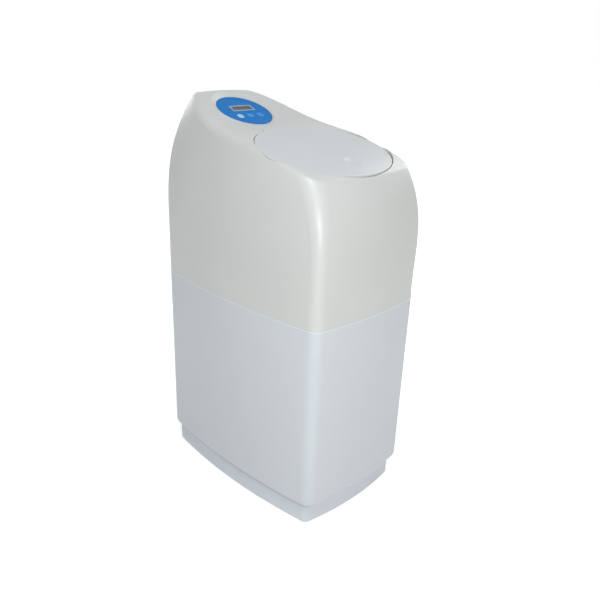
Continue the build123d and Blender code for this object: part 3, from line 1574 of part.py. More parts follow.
# Drain elbow: from the valve's drain port out through the notch to a hose spigot
drain_face = cabinet_depth / 2 + drain_reach
drain_corner = (drain_bend_offset, vessel_centre_y, side_port_level)
with BuildPart() as drain_elbow:
    with BuildSketch(Plane.YZ.offset(side_port_reach)):
        with Locations((vessel_centre_y, side_port_level)):
            Circle(side_port_radius)
    extrude(amount=drain_bend_offset - side_port_reach)
    with Locations(drain_corner):
        Sphere(side_port_radius)
    with BuildSketch(Plane.XZ.offset(-vessel_centre_y)):
        with Locations((drain_bend_offset, side_port_level)):
            Circle(hose_spigot_radius)
    extrude(amount=vessel_centre_y - drain_face)
    with BuildSketch(Plane.XZ.offset(-drain_face + hose_spigot_length)):
        with Locations((drain_bend_offset, side_port_level)):
            Circle(side_port_radius)
    extrude(amount=hose_collar_length)
    with BuildSketch(Plane.XZ.offset(-drain_face + hose_bead_inset)):
        with Locations((drain_bend_offset, side_port_level)):
            Circle(hose_bead_radius)
    extrude(amount=-hose_bead_length)
    with BuildSketch(Plane.YZ.offset(side_port_reach)):
        with Locations((vessel_centre_y, side_port_level)):
            Circle(hose_bore)
    extrude(amount=drain_bend_offset - side_port_reach, mode=Mode.SUBTRACT)
    with BuildSketch(Plane.XZ.offset(-drain_face)):
        with Locations((drain_bend_offset, side_port_level)):
            Circle(hose_bore)
    extrude(amount=drain_face - vessel_centre_y, mode=Mode.SUBTRACT)
save("drain_elbow", drain_elbow.part)

# Overflow elbow: a flanged neck through the tank's back wall with a spigot turned down
overflow_rise_share = (seam_height - overflow_height) / tank_height
overflow_wall_face = cabinet_depth / 2 - tank_taper * overflow_rise_share + wall_seat
overflow_corner_y = overflow_wall_face + overflow_reach
overflow_foot = overflow_height - hose_spigot_length - overflow_drop
with BuildPart() as overflow_elbow:
    with BuildSketch(Plane.XZ.offset(-overflow_wall_face + overflow_neck_length)):
        with Locations((overflow_place_x, overflow_height)):
            Circle(hose_spigot_radius)
    extrude(amount=-overflow_neck_length - overflow_reach)
    with BuildSketch(Plane.XZ.offset(-overflow_wall_face)):
        with Locations((overflow_place_x, overflow_height)):
            Circle(overflow_flange_radius)
    extrude(amount=-overflow_flange_length)
    with Locations((overflow_place_x, overflow_corner_y, overflow_height)):
        Sphere(hose_spigot_radius)
    with BuildSketch(Plane.XY.offset(overflow_height)):
        with Locations((overflow_place_x, overflow_corner_y)):
            Circle(hose_spigot_radius)
    extrude(amount=overflow_foot - overflow_height)
    with BuildSketch(Plane.XY.offset(overflow_foot + hose_bead_inset)):
        with Locations((overflow_place_x, overflow_corner_y)):
            Circle(hose_bead_radius)
    extrude(amount=hose_bead_length)
    with BuildSketch(Plane.XZ.offset(-overflow_wall_face + overflow_neck_length)):
        with Locations((overflow_place_x, overflow_height)):
            Circle(hose_bore)
    extrude(amount=-overflow_neck_length - overflow_reach, mode=Mode.SUBTRACT)
    with BuildSketch(Plane.XY.offset(overflow_foot)):
        with Locations((overflow_place_x, overflow_corner_y)):
            Circle(hose_bore)
    extrude(amount=overflow_height - overflow_foot, mode=Mode.SUBTRACT)
save("overflow_elbow", overflow_elbow.part)

# Nut that holds the overflow's neck from inside the tank
overflow_nut_face = overflow_wall_face - wall_seat * 4 - tank_wall
with BuildPart() as overflow_nut:
    with BuildSketch(Plane.XZ.offset(-overflow_nut_face)):
        with Locations((overflow_place_x, overflow_height)):
            RegularPolygon(overflow_flange_radius, 6)
            Circle(hose_spigot_radius + screw_clearance, mode=Mode.SUBTRACT)
    extrude(amount=overflow_nut_length)
save("overflow_nut", overflow_nut.part)

# Brine well: a slotted tube that stands on the tank's floor and keeps salt off the valve
with BuildPart() as brine_well:
    with BuildSketch(Plane.XY.offset(vessel_base)):
        with Locations((well_x, well_y)):
            Circle(well_radius)
            Circle(well_radius - well_wall, mode=Mode.SUBTRACT)
    extrude(amount=well_height)
    with BuildSketch(Plane.XY.offset(vessel_base + well_slot_foot)):
        with Locations((well_x, well_y)):
            with PolarLocations(well_radius, well_slot_count):
                Rectangle(well_wall * 4, well_slot_width)
    extrude(amount=well_slot_height, mode=Mode.SUBTRACT)
save("brine_well", brine_well.part)

# Well cap: a lift-off lid with a skirt inside the tube, a knob and a hole for the line
brine_axis = (well_x, well_y + brine_valve_offset)
rod_axis = (well_x, well_y - float_rod_offset)
with BuildPart() as well_cap:
    with BuildSketch(Plane.XY.offset(well_top)):
        with Locations((well_x, well_y)):
            Circle(well_radius + cap_overhang)
    extrude(amount=cap_thickness)
    chamfer(well_cap.edges().sort_by(Axis.Z)[-1], length=cap_thickness / 2)
    with BuildSketch(Plane.XY.offset(well_top)):
        with Locations((well_x, well_y)):
            Circle(well_radius - well_wall - cap_clearance)
            Circle(well_radius - well_wall * 2 - cap_clearance, mode=Mode.SUBTRACT)
    extrude(amount=-cap_skirt)
    with BuildSketch(Plane.XY.offset(well_top + cap_thickness)):
        with Locations(rod_axis):
            Circle(cap_knob_radius)
    extrude(amount=cap_knob_height)
    with BuildSketch(Plane.XY.offset(well_top - cap_skirt)):
        with Locations(brine_axis):
            Circle(brine_line_radius + cap_clearance)
    extrude(amount=cap_skirt + cut_overrun, mode=Mode.SUBTRACT)
save("well_cap", well_cap.part)

# Brine valve: stands clear of the floor at the foot of the line, with an inlet strainer
# below and an arm that guides the float's rod
brine_valve_foot = vessel_base + brine_valve_clear
brine_valve_top = brine_valve_foot + brine_valve_height
guide_top = brine_valve_top - brine_valve_radius
with BuildPart() as brine_valve:
    with BuildSketch(Plane.XY.offset(brine_valve_foot)):
        with Locations(brine_axis):
            Circle(brine_valve_radius)
    extrude(amount=brine_valve_height)
    with BuildSketch(Plane.XY.offset(brine_valve_foot)):
        with Locations(brine_axis):
            Circle(brine_valve_radius - strainer_wall)
    extrude(amount=strainer_height, mode=Mode.SUBTRACT)
    with BuildSketch(Plane.XY.offset(brine_valve_foot + strainer_wall)):
        with Locations(brine_axis):
            with PolarLocations(brine_valve_radius, strainer_slot_count):
                Rectangle(brine_valve_radius, strainer_slot_width)
    extrude(amount=strainer_height - strainer_wall * 2, mode=Mode.SUBTRACT)
    with BuildSketch(Plane.XY.offset(guide_top)):
        with Locations(rod_axis):
            Circle(guide_arm_width / 2)
        with Locations((well_x, (rod_axis[1] + brine_axis[1]) / 2)):
            Rectangle(guide_arm_width, brine_axis[1] - rod_axis[1])
    extrude(amount=-guide_arm_thickness)
    with BuildSketch(Plane.XY.offset(guide_top)):
        with Locations(rod_axis):
            Circle(float_rod_radius + float_rod_clearance)
    extrude(amount=-guide_arm_thickness, mode=Mode.SUBTRACT)
    with BuildSketch(Plane.XY.offset(brine_valve_top)):
        with Locations(brine_axis):
            Circle(brine_line_radius)
    extrude(amount=-brine_nut_length, mode=Mode.SUBTRACT)
    with BuildSketch(Plane.XY.offset(brine_valve_top)):
        with Locations(brine_axis):
            Circle(brine_line_bore)
    extrude(amount=strainer_height - brine_valve_height, mode=Mode.SUBTRACT)
save("brine_valve", brine_valve.part)

# Float and its rod: the rod slides in the arm between its two stops and ends the refill
float_foot = well_top - float_drop - float_height
rod_top = float_foot + float_height + float_stop_height
with BuildPart() as brine_float:
    with BuildSketch(Plane.XY.offset(float_foot)):
        with Locations(rod_axis):
            Circle(float_radius)
            Circle(float_rod_radius, mode=Mode.SUBTRACT)
    extrude(amount=float_height)
    float_rims = brine_float.edges().filter_by(GeomType.CIRCLE).filter_by(
        lambda edge: edge.radius > float_rod_radius * 2
    )
    chamfer(float_rims, length=float_edge_round)
save("brine_float", brine_float.part)

with BuildPart() as float_rod:
    with BuildSketch(Plane.XY.offset(float_rod_bottom)):
        with Locations(rod_axis):
            Circle(float_rod_radius)
    extrude(amount=rod_top - float_rod_bottom)
    stop_levels = (
        guide_top,
        guide_top - guide_arm_thickness - float_travel - float_stop_height,
        float_foot - float_stop_height,
        float_foot + float_height,
    )
    for level in stop_levels:
        with BuildSketch(Plane.XY.offset(level)):
            with Locations(rod_axis):
                Circle(float_stop_radius)
        extrude(amount=float_stop_height)
save("float_rod", float_rod.part)

# Brine line: a flexible tube from the valve's brine port over the tank to the brine valve
line_start = (-side_port_reach, vessel_centre_y, side_port_level)
line_foot = brine_valve_top - brine_nut_length
line_points = (
    line_start,
    (well_x, vessel_centre_y, side_port_level),
    (well_x, brine_axis[1], side_port_level),
    (well_x, brine_axis[1], line_foot),
)
with BuildPart() as brine_line:
    with BuildLine() as line_path:
        FilletPolyline(*line_points, radius=brine_line_bend)
    with BuildSketch(Plane(origin=line_start, z_dir=(-1, 0, 0))):
        Circle(brine_line_radius)
        Circle(brine_line_bore, mode=Mode.SUBTRACT)
    sweep(path=line_path.line)
save("brine_line", brine_line.part)

# Nut that clamps the brine line to the valve's port
with BuildPart() as brine_nut:
    with BuildSketch(Plane.YZ.offset(-side_port_reach)):
        with Locations((vessel_centre_y, side_port_level)):
            RegularPolygon(brine_nut_radius, 6)
            Circle(brine_line_radius, mode=Mode.SUBTRACT)
    extrude(amount=-brine_nut_length)
save("brine_nut", brine_nut.part)
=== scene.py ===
import math
import bpy
from mathutils import Matrix, Vector


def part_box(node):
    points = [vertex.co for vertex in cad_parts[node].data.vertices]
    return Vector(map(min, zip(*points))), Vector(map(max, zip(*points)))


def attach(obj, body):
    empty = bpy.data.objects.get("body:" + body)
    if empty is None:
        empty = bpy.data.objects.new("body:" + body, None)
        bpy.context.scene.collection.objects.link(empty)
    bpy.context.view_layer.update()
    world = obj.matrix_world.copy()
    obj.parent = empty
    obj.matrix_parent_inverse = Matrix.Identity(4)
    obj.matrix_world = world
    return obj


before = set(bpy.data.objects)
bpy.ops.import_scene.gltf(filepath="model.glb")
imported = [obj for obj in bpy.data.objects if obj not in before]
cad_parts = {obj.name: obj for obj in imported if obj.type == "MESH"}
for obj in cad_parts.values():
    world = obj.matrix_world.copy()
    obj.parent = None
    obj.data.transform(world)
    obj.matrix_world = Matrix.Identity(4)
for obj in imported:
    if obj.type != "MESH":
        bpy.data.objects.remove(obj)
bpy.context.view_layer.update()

# Brine tank: the cabinet's lower half and the salt's container, one thick-walled shell
# moulded in bluish white polyethylene. Its polished tool leaves a satin skin, with broad
# pale drifts from the melt's flow and a fine spark-eroded grain.


def linear(hex_colour):
    """Linear colour with full alpha from an sRGB hex string."""
    shares = [int(hex_colour[i:i + 2], 16) / 255 for i in (0, 2, 4)]
    values = [s / 12.92 if s <= 0.04045 else ((s + 0.055) / 1.055) ** 2.4 for s in shares]
    return (*values, 1.0)


def add_node(tree, kind, settings=None, **values):
    """Add a shader node; values set its sockets, and a socket given as a value is linked."""
    node = tree.nodes.new(kind)
    for name, setting in (settings or {}).items():
        setattr(node, name, setting)
    for name, value in values.items():
        key = name.replace("_", " ")
        socket = node.inputs[int(name[1:])] if name[1:].isdigit() else node.inputs[key]
        if isinstance(value, bpy.types.NodeSocket):
            tree.links.new(value, socket)
        else:
            socket.default_value = value
    return node


def new_material(name):
    """A material with only an output, its tree and its object coordinates."""
    material = bpy.data.materials.new(name)
    material.use_nodes = True
    tree = material.node_tree
    tree.nodes.clear()
    output = tree.nodes.new("ShaderNodeOutputMaterial")
    place = tree.nodes.new("ShaderNodeTexCoord").outputs["Object"]
    return material, tree, output, place


def cells(size_mm):
    """A pattern's scale, in cells per metre, from the size of one cell in millimetres."""
    return 1000 / size_mm


flow_mark_size = 111.0


def moulded_plastic(
    name, light, dark, roughness, grain, relief, gloss_spread=0.06, specular=0.5, ior=1.49
):
    """Moulded plastic: two close shades from the melt's flow, the tool's grain with its
    size and relief in mm, a roughness that drifts with it, and how strongly it mirrors.
    Real grain is near 0.2 mm, and is drawn at 0.5 to 2 mm so that it shows."""
    material, tree, output, place = new_material(name)
    flow = add_node(
        tree, "ShaderNodeTexNoise", Vector=place, Scale=cells(flow_mark_size), Detail=3.0
    )
    shade = add_node(tree, "ShaderNodeMix", {"data_type": "RGBA"}, _0=flow.outputs["Fac"])
    shade.inputs[6].default_value = linear(dark)
    shade.inputs[7].default_value = linear(light)
    texture = add_node(
        tree, "ShaderNodeTexNoise", Vector=place, Scale=cells(grain), Detail=4.0
    )
    spread = add_node(
        tree, "ShaderNodeMapRange", Value=texture.outputs["Fac"],
        To_Min=roughness - gloss_spread, To_Max=roughness + gloss_spread,
    )
    bump = add_node(
        tree, "ShaderNodeBump",
        Height=texture.outputs["Fac"], Strength=0.5, Distance=relief / 1000,
    )
    surface = add_node(
        tree, "ShaderNodeBsdfPrincipled",
        Base_Color=shade.outputs[2], Roughness=spread.outputs["Result"],
        Normal=bump.outputs["Normal"], IOR=ior, Specular_IOR_Level=specular,
    )
    tree.links.new(surface.outputs["BSDF"], output.inputs["Surface"])
    return material


def dress(material, *nodes):
    """Give a material to every slot of the named nodes."""
    for node in nodes:
        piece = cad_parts[node]
        if not piece.data.materials:
            piece.data.materials.append(material)
        for index in range(len(piece.data.materials)):
            piece.data.materials[index] = material


def joint_line(material, level, reach, tint):
    """A tint at one level of a moulded piece, fading out within its reach above and below."""
    tree = material.node_tree
    surface = next(n for n in tree.nodes if n.bl_idname == "ShaderNodeBsdfPrincipled")
    skin = surface.inputs["Base Color"].links[0].from_socket
    coordinates = next(n for n in tree.nodes if n.bl_idname == "ShaderNodeTexCoord")
    split = add_node(tree, "ShaderNodeSeparateXYZ", Vector=coordinates.outputs["Object"])
    above = add_node(
        tree, "ShaderNodeMath", {"operation": "SUBTRACT"}, _0=split.outputs["Z"], _1=level
    )
    away = add_node(tree, "ShaderNodeMath", {"operation": "ABSOLUTE"}, _0=above.outputs[0])
    near = add_node(
        tree, "ShaderNodeMapRange", Value=away.outputs[0],
        From_Min=0.0, From_Max=reach, To_Min=1.0, To_Max=0.0,
    )
    lined = add_node(
        tree, "ShaderNodeMix", {"data_type": "RGBA"}, _0=near.outputs["Result"], _6=skin
    )
    lined.inputs[7].default_value = linear(tint)
    tree.links.new(lined.outputs[2], surface.inputs["Base Color"])
    return material


# A thin light line painted along the tank's rim, under the hood's foot, is the highlight of
# its rounded edge.
seam_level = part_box("top_cover")[0][2]
rim_highlight_reach = 0.003
tank_plastic = moulded_plastic(
    "moulded_polyethylene_cool_white", "DBDFE2", "D6DADD",
    roughness=0.4, grain=1.1, relief=0.06, ior=1.51,
)
dress(joint_line(tank_plastic, seam_level, rim_highlight_reach, "F0F4F8"), "brine_tank")

# Base plinth: a shallow tray of the same polyethylene, screwed under the tank from below.
# It is duller than the tank. A dark band is painted along its top, under the tank's rounded
# bottom edge, as the shadow that edge casts.
tank_foot_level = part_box("brine_tank")[0][2]
painted_shadow_reach = 0.013
plinth_plastic = moulded_plastic(
    "moulded_polyethylene_foot", "E2E6EA", "DCE0E5",
    roughness=0.5, grain=1.1, relief=0.08, ior=1.51,
)
dress(joint_line(plinth_plastic, tank_foot_level, painted_shadow_reach, "7A848E"), "base_plinth")

# Top cover: the hood, one ABS moulding pushed over the tank's spigot and held there by two
# screws at the back. ABS is warmer and glossier than the tank, so its front corner and its
# crest carry a clear highlight. A thin grey line along its foot is painted shadow of the
# seam, with a little dust.
foot_dust_and_shadow_reach = 0.0011
cover_plastic = moulded_plastic(
    "moulded_abs_warm_white", "DBDBD7", "D5D5D1",
    roughness=0.36, grain=1.1, relief=0.06, specular=0.6, ior=1.53,
)
dress(joint_line(cover_plastic, seam_level, foot_dust_and_shadow_reach, "B4B7B5"), "top_cover")

# Dish strip: the hood's own ABS carried on behind the panel, over the joint between the
# panel's well and the roof. It is a thin crescent that lies flush on the dish's slope and
# can't be told from the hood.
# The panel's plane, its half sizes and the dish's slope are the hood's own.
panel_middle = Vector((0, 0.142, 0.801))
panel_tilt = math.radians(22.5)
panel_half_width, panel_half_length = 0.0638, 0.0598
dish_rim, dish_flare, dish_rise = 0.0007, 0.012, 0.0065
strip_inner, strip_outer = 0.0054, 0.0098
strip_lift, strip_wall = 0.00006, 0.0005
strip_half_turn, strip_smooth_angle = math.radians(37), math.radians(30)
strip_facets = 240
inner_width, inner_length = panel_half_width + strip_inner, panel_half_length + strip_inner
outer_width, outer_length = panel_half_width + strip_outer, panel_half_length + strip_outer
dish_slope = dish_rise / dish_flare
bpy.ops.object.select_all(action="DESELECT")
bpy.ops.mesh.primitive_circle_add(vertices=strip_facets, radius=1.0, location=(0, 0, 0))
strip = bpy.context.active_object
strip.name = "dish_strip"
bpy.ops.object.mode_set(mode="EDIT")
bpy.ops.mesh.select_all(action="SELECT")
bpy.ops.transform.resize(value=(inner_width, inner_length, 1.0))
bpy.ops.transform.translate(value=(0, 0, (strip_inner - dish_rim) * dish_slope + strip_lift))
bpy.ops.mesh.extrude_region()
bpy.ops.transform.resize(
    value=(outer_width / inner_width, outer_length / inner_length, 1.0),
    center_override=(0, 0, 0),
)
bpy.ops.transform.translate(value=(0, 0, (strip_outer - strip_inner) * dish_slope))
bpy.ops.mesh.select_mode(type="FACE")
bpy.ops.object.mode_set(mode="OBJECT")
for face in strip.data.polygons:
    turn_from_back = abs(math.atan2(face.center.x, face.center.y))
    face.select = turn_from_back > strip_half_turn
bpy.ops.object.mode_set(mode="EDIT")
bpy.ops.mesh.delete(type="FACE")
bpy.ops.mesh.select_all(action="SELECT")
bpy.ops.mesh.normals_make_consistent(inside=False)
bpy.ops.object.mode_set(mode="OBJECT")
if strip.data.polygons[0].normal.z < 0:
    strip.data.flip_normals()
wall = strip.modifiers.new("wall", "SOLIDIFY")
wall.thickness = strip_wall
wall.offset = -1.0
bpy.ops.object.modifier_apply(modifier="wall")
strip.rotation_euler = (panel_tilt, 0, 0)
strip.location = panel_middle
bpy.ops.object.transform_apply(location=True, rotation=True, scale=True)
bpy.ops.object.shade_smooth_by_angle(angle=strip_smooth_angle)
strip.data.materials.append(cover_plastic)
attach(strip, "cabinet")

# Salt lid: a domed oval shell of ABS, hinged at its back edge and set in the hood's
# mouth. It is cooler in colour and a little smoother than the hood, so it stands out from
# it and shows its finger dimple.
lid_plastic = moulded_plastic(
    "moulded_abs_lid", "DADBDB", "D5D6D7",
    roughness=0.34, grain=1.3, relief=0.04, specular=0.35, ior=1.53,
)
dress(lid_plastic, "salt_lid")

# Lid hinge and seal: a drawn steel pin through the hood's ears and the lid's lugs, and a
# grey foamed rubber ring stuck under the dome. The foam is matt and open-celled, and the
# steel has fine lines along its length.
foam = moulded_plastic(
    "foamed_rubber_grey", "8F9193", "858789",
    roughness=0.85, grain=0.6, relief=0.2, ior=1.52,
)
dress(foam, "lid_seal")
tarnish_size = 6.25
tarnish_depth = 0.86


def plated_steel(name, colour, roughness, line_sizes, gloss_spread=0.08):
    """Drawn or zinc-plated steel: fine lines with their sizes in mm along X, Y and Z, and
    patches of passivation that darken the metal a little. Real lines are some hundredths
    of a millimetre wide, and are drawn wider so that they show."""
    material, tree, output, place = new_material(name)
    mapping = add_node(
        tree, "ShaderNodeMapping", Vector=place, Scale=[cells(size) for size in line_sizes]
    )
    lines = add_node(
        tree, "ShaderNodeTexNoise", Vector=mapping.outputs["Vector"], Scale=1.0, Detail=3.0
    )
    patches = add_node(
        tree, "ShaderNodeTexNoise", Vector=place, Scale=cells(tarnish_size), Detail=2.0
    )
    shade = add_node(tree, "ShaderNodeMix", {"data_type": "RGBA"}, _0=patches.outputs["Fac"])
    bright = linear(colour)
    shade.inputs[6].default_value = bright
    shade.inputs[7].default_value = (*(part * tarnish_depth for part in bright[:3]), 1.0)
    spread = add_node(
        tree, "ShaderNodeMapRange", Value=lines.outputs["Fac"],
        To_Min=roughness - gloss_spread, To_Max=roughness + gloss_spread,
    )
    bump = add_node(
        tree, "ShaderNodeBump", Height=lines.outputs["Fac"], Strength=0.4, Distance=0.00002
    )
    surface = add_node(
        tree, "ShaderNodeBsdfPrincipled", Base_Color=shade.outputs[2], Metallic=1.0,
        Roughness=spread.outputs["Result"], Normal=bump.outputs["Normal"],
    )
    tree.links.new(surface.outputs["BSDF"], output.inputs["Surface"])
    return material


pin_steel = plated_steel(
    "drawn_steel", "C9CACB", roughness=0.28, line_sizes=(3.33, 0.333, 0.333)
)
dress(pin_steel, "lid_hinge_pin")

# Screws: small steel screws in the plinth, the hood's foot, the valve's bonnet and the
# motor. Their zinc plating is a warm, even grey whose mottle has no direction.
screw_zinc = plated_steel(
    "zinc_plated_steel", "C6C6BE", roughness=0.35, line_sizes=(0.667, 0.667, 0.667)
)
dress(screw_zinc, "base_screws", "cover_screws", "bonnet_screws", "motor_screws")

# Control panel: a saturated blue ABS disc that snaps into the hood's dish. Its colour is
# deep and its face has little shine, so the lamps hardly wash it out.
panel_plastic = moulded_plastic(
    "moulded_abs_blue", "037ECF", "0278C8",
    roughness=0.45, grain=0.8, relief=0.02, specular=0.1, ior=1.53,
)
dress(panel_plastic, "control_panel")

# Display: a grey ABS frame in the panel's window, with the display cell under it and the
# control board behind. The cell's polarised glass is dark olive when it is off, and the
# board has a green, slightly glossy mask.
frame_plastic = moulded_plastic(
    "moulded_abs_grey", "B4C3CB", "ACBCC5",
    roughness=0.4, grain=0.8, relief=0.02, ior=1.53,
)
dress(frame_plastic, "display_frame")
cell_glass = moulded_plastic(
    "polarised_cell_glass", "57534C", "4D4A44",
    roughness=0.5, grain=0.6, relief=0.01, ior=1.52,
)
dress(cell_glass, "display_module")
board = moulded_plastic(
    "solder_mask_on_glass_epoxy", "1C5A37", "174D2F",
    roughness=0.35, grain=1.2, relief=0.04, ior=1.55,
)
dress(board, "control_board")

# Display pane: thin clear polycarbonate bonded over the cell. It is smooth, with a faint
# haze of about 1 mm that breaks up its reflection, and takes the cell's tone.
haze_size = 1.11
material, tree, output, place = new_material("clear_polycarbonate")
haze = add_node(
    tree, "ShaderNodeTexNoise", Vector=place, Scale=cells(haze_size), Detail=3.0
)
spread = add_node(
    tree, "ShaderNodeMapRange", Value=haze.outputs["Fac"], To_Min=0.06, To_Max=0.16
)
surface = add_node(
    tree, "ShaderNodeBsdfPrincipled", Base_Color=linear("4A463E"),
    Roughness=spread.outputs["Result"], IOR=1.58, Specular_IOR_Level=0.25,
)
tree.links.new(surface.outputs["BSDF"], output.inputs["Surface"])
dress(material, "display_glass")

# Push buttons: three round acrylic caps that slide in the panel onto the key switches. The
# left one is nearly white, and the other two are only a little lighter than the panel.
light_acrylic = moulded_plastic(
    "moulded_acrylic_light", "B9DCFA", "B0D5F6",
    roughness=0.4, grain=0.8, relief=0.02, specular=0.2,
)
dress(light_acrylic, "button_left")
sky_acrylic = moulded_plastic(
    "moulded_acrylic_sky", "3D9BE8", "3593E2",
    roughness=0.4, grain=0.8, relief=0.02, specular=0.15,
)
dress(sky_acrylic, "button_middle", "button_right")

# Supply socket: a round black nylon moulding in the hood's back, where the low-voltage
# lead plugs in. Its face is dull, with a fine grain.
socket_nylon = moulded_plastic(
    "moulded_nylon_black", "1B1B1D", "161618",
    roughness=0.45, grain=0.8, relief=0.03, ior=1.53,
)
dress(socket_nylon, "power_socket")

# Resin vessel: a blow-moulded liner wound with glass fibre in epoxy. Crossed helical bands
# show dark and light under the clear resin coat. Single fibres are a hundredth of a
# millimetre wide, and are drawn as strands of 0.8 mm so that they show.
vessel_axis = (0.0, 0.124, 0.0)
bands_around = 4.0
band_climb = 180.0
band_share = 0.25
fibre_size = 0.833
material, tree, output, place = new_material("wound_glass_fibre")
centred = add_node(tree, "ShaderNodeVectorMath", {"operation": "SUBTRACT"}, _0=place)
centred.inputs[1].default_value = vessel_axis
split = add_node(tree, "ShaderNodeSeparateXYZ", Vector=centred.outputs[0])
turn = add_node(
    tree, "ShaderNodeMath", {"operation": "ARCTAN2"},
    _0=split.outputs["Y"], _1=split.outputs["X"],
)
waves = []
for direction in (1, -1):
    climb = add_node(
        tree, "ShaderNodeMath", {"operation": "MULTIPLY_ADD"},
        _0=split.outputs["Z"], _1=direction * band_climb, _2=turn.outputs[0],
    )
    phase = add_node(
        tree, "ShaderNodeMath", {"operation": "MULTIPLY"},
        _0=climb.outputs[0], _1=bands_around,
    )
    wave = add_node(tree, "ShaderNodeMath", {"operation": "SINE"}, _0=phase.outputs[0])
    waves.append(wave.outputs[0])
crossed = add_node(
    tree, "ShaderNodeMath", {"operation": "MULTIPLY"}, _0=waves[0], _1=waves[1]
)
fibre = add_node(
    tree, "ShaderNodeTexNoise", Vector=place, Scale=cells(fibre_size), Detail=3.0
)
mixed = add_node(
    tree, "ShaderNodeMath", {"operation": "MULTIPLY_ADD"},
    _0=crossed.outputs[0], _1=band_share, _2=fibre.outputs["Fac"],
)
shade = add_node(tree, "ShaderNodeMix", {"data_type": "RGBA"}, _0=mixed.outputs[0])
shade.inputs[6].default_value = linear("2B3138")
shade.inputs[7].default_value = linear("4A545E")
bump = add_node(
    tree, "ShaderNodeBump", Height=mixed.outputs[0], Strength=0.5, Distance=0.0002
)
surface = add_node(
    tree, "ShaderNodeBsdfPrincipled", Base_Color=shade.outputs[2], Roughness=0.38,
    IOR=1.55, Normal=bump.outputs["Normal"], Coat_Weight=0.5, Coat_Roughness=0.15,
)
tree.links.new(surface.outputs["BSDF"], output.inputs["Surface"])
dress(material, "resin_vessel")

# Vessel boot: a ring of black polypropylene that the vessel's round end stands in, on the
# cabinet's floor. It is plain and dull.
boot_plastic = moulded_plastic(
    "moulded_polypropylene_black", "232427", "1C1D20",
    roughness=0.55, grain=1.2, relief=0.08,
)
dress(boot_plastic, "vessel_boot")

# Resin bed: amber ion-exchange beads, wet and packed. The real beads measure 0.6 mm. Each is
# painted light in its middle and darker towards its edge and in the gaps, a painted shading
# of the round beads and the shade between them.
bead_size = 0.625
material, tree, output, place = new_material("ion_exchange_beads")
beads = add_node(tree, "ShaderNodeTexVoronoi", Vector=place, Scale=cells(bead_size))
shade = add_node(tree, "ShaderNodeMix", {"data_type": "RGBA"}, _0=beads.outputs["Distance"])
shade.inputs[6].default_value = linear("C98B34")
shade.inputs[7].default_value = linear("7E4E17")
bump = add_node(
    tree, "ShaderNodeBump", {"invert": True},
    Height=beads.outputs["Distance"], Strength=0.7, Distance=0.0003,
)
surface = add_node(
    tree, "ShaderNodeBsdfPrincipled", Base_Color=shade.outputs[2], Roughness=0.3,
    IOR=1.5, Normal=bump.outputs["Normal"],
)
tree.links.new(surface.outputs["BSDF"], output.inputs["Surface"])
dress(material, "resin_bed")

# Riser and distributors: an extruded ABS pipe down the vessel's middle with a slotted
# polypropylene basket at each end. The pipe is pale and smooth, the baskets black and dull.
riser_plastic = moulded_plastic(
    "extruded_abs_grey", "D5D6D3", "CCCDCA",
    roughness=0.45, grain=2.0, relief=0.04, ior=1.53,
)
dress(riser_plastic, "riser_tube")
basket_plastic = moulded_plastic(
    "moulded_polypropylene_basket", "26282B", "1E2023",
    roughness=0.5, grain=0.9, relief=0.05,
)
dress(basket_plastic, "lower_distributor", "upper_distributor")

# Control valve and bypass: bodies, caps and nuts moulded in glass-filled black plastic,
# with a rubber ring on the vessel's neck. Threads and screws hold them together. Short
# fibres at the surface dull the skin and make its gloss uneven.
filled_plastic = moulded_plastic(
    "glass_filled_plastic_black", "2A2B2D", "202123",
    roughness=0.52, grain=0.7, relief=0.09, gloss_spread=0.1, ior=1.58,
)
dress(
    filled_plastic,
    "valve_body", "valve_bonnet", "injector_cap", "bypass_body", "chamber_caps",
    "union_nuts", "drain_elbow",
)
neck_rubber = moulded_plastic(
    "moulded_rubber", "151515", "101010",
    roughness=0.7, grain=0.8, relief=0.04, ior=1.52,
)
dress(neck_rubber, "neck_ring")

# Ceramic discs: pressed and fired alumina, lapped flat so that one seals on the other. The
# lapped face is ivory and smooth, with only a faint grain.
alumina = moulded_plastic(
    "lapped_alumina", "E9E5D8", "E2DDCF",
    roughness=0.18, grain=0.5, relief=0.01, ior=1.77,
)
dress(alumina, "fixed_disc", "moving_disc")

# Gears, spindle, turbine and bypass rotors: natural acetal, which runs in water and on
# itself without grease. It is a milky ivory with a soft gloss.
acetal = moulded_plastic(
    "moulded_acetal", "E6E2D3", "DDD9C9",
    roughness=0.36, grain=0.8, relief=0.03, ior=1.48,
)
dress(
    acetal,
    "drive_gear", "motor_pinion", "drive_spindle", "turbine_cage", "flow_turbine",
    "bypass_rotor_outlet", "bypass_rotor_inlet",
)

# Motor and bracket: a flat geared motor in a drawn can, on a pressed plate over the gears.
# Both are zinc-plated steel, brighter than plastic and faintly lined along one direction.
bracket_zinc = plated_steel(
    "pressed_zinc_plated_steel", "BFC1C3", roughness=0.38, line_sizes=(0.4, 6.67, 0.4)
)
dress(bracket_zinc, "motor_bracket")
can_zinc = plated_steel(
    "drawn_zinc_plated_can", "B9B9B4", roughness=0.33, line_sizes=(6.67, 0.4, 0.4)
)
dress(can_zinc, "drive_motor")

# Bypass knobs: hand knobs on the rotors' stems, moulded in blue nylon to match the panel.
# They have the even, slightly waxy look of nylon.
knob_nylon = moulded_plastic(
    "moulded_nylon_blue", "2A6FB4", "2566A8",
    roughness=0.42, grain=1.0, relief=0.06, ior=1.53,
)
dress(knob_nylon, "bypass_knob_outlet", "bypass_knob_inlet")

# Brine fittings: the overflow elbow through the tank's back wall with its nut inside, and
# the nut that clamps the brine line to the valve. They are moulded in white polypropylene,
# a shade greyer than the tank.
fitting_plastic = moulded_plastic(
    "moulded_polypropylene_white", "DADCDD", "D2D4D6",
    roughness=0.45, grain=1.0, relief=0.05,
)
dress(fitting_plastic, "overflow_elbow", "overflow_nut", "brine_nut")

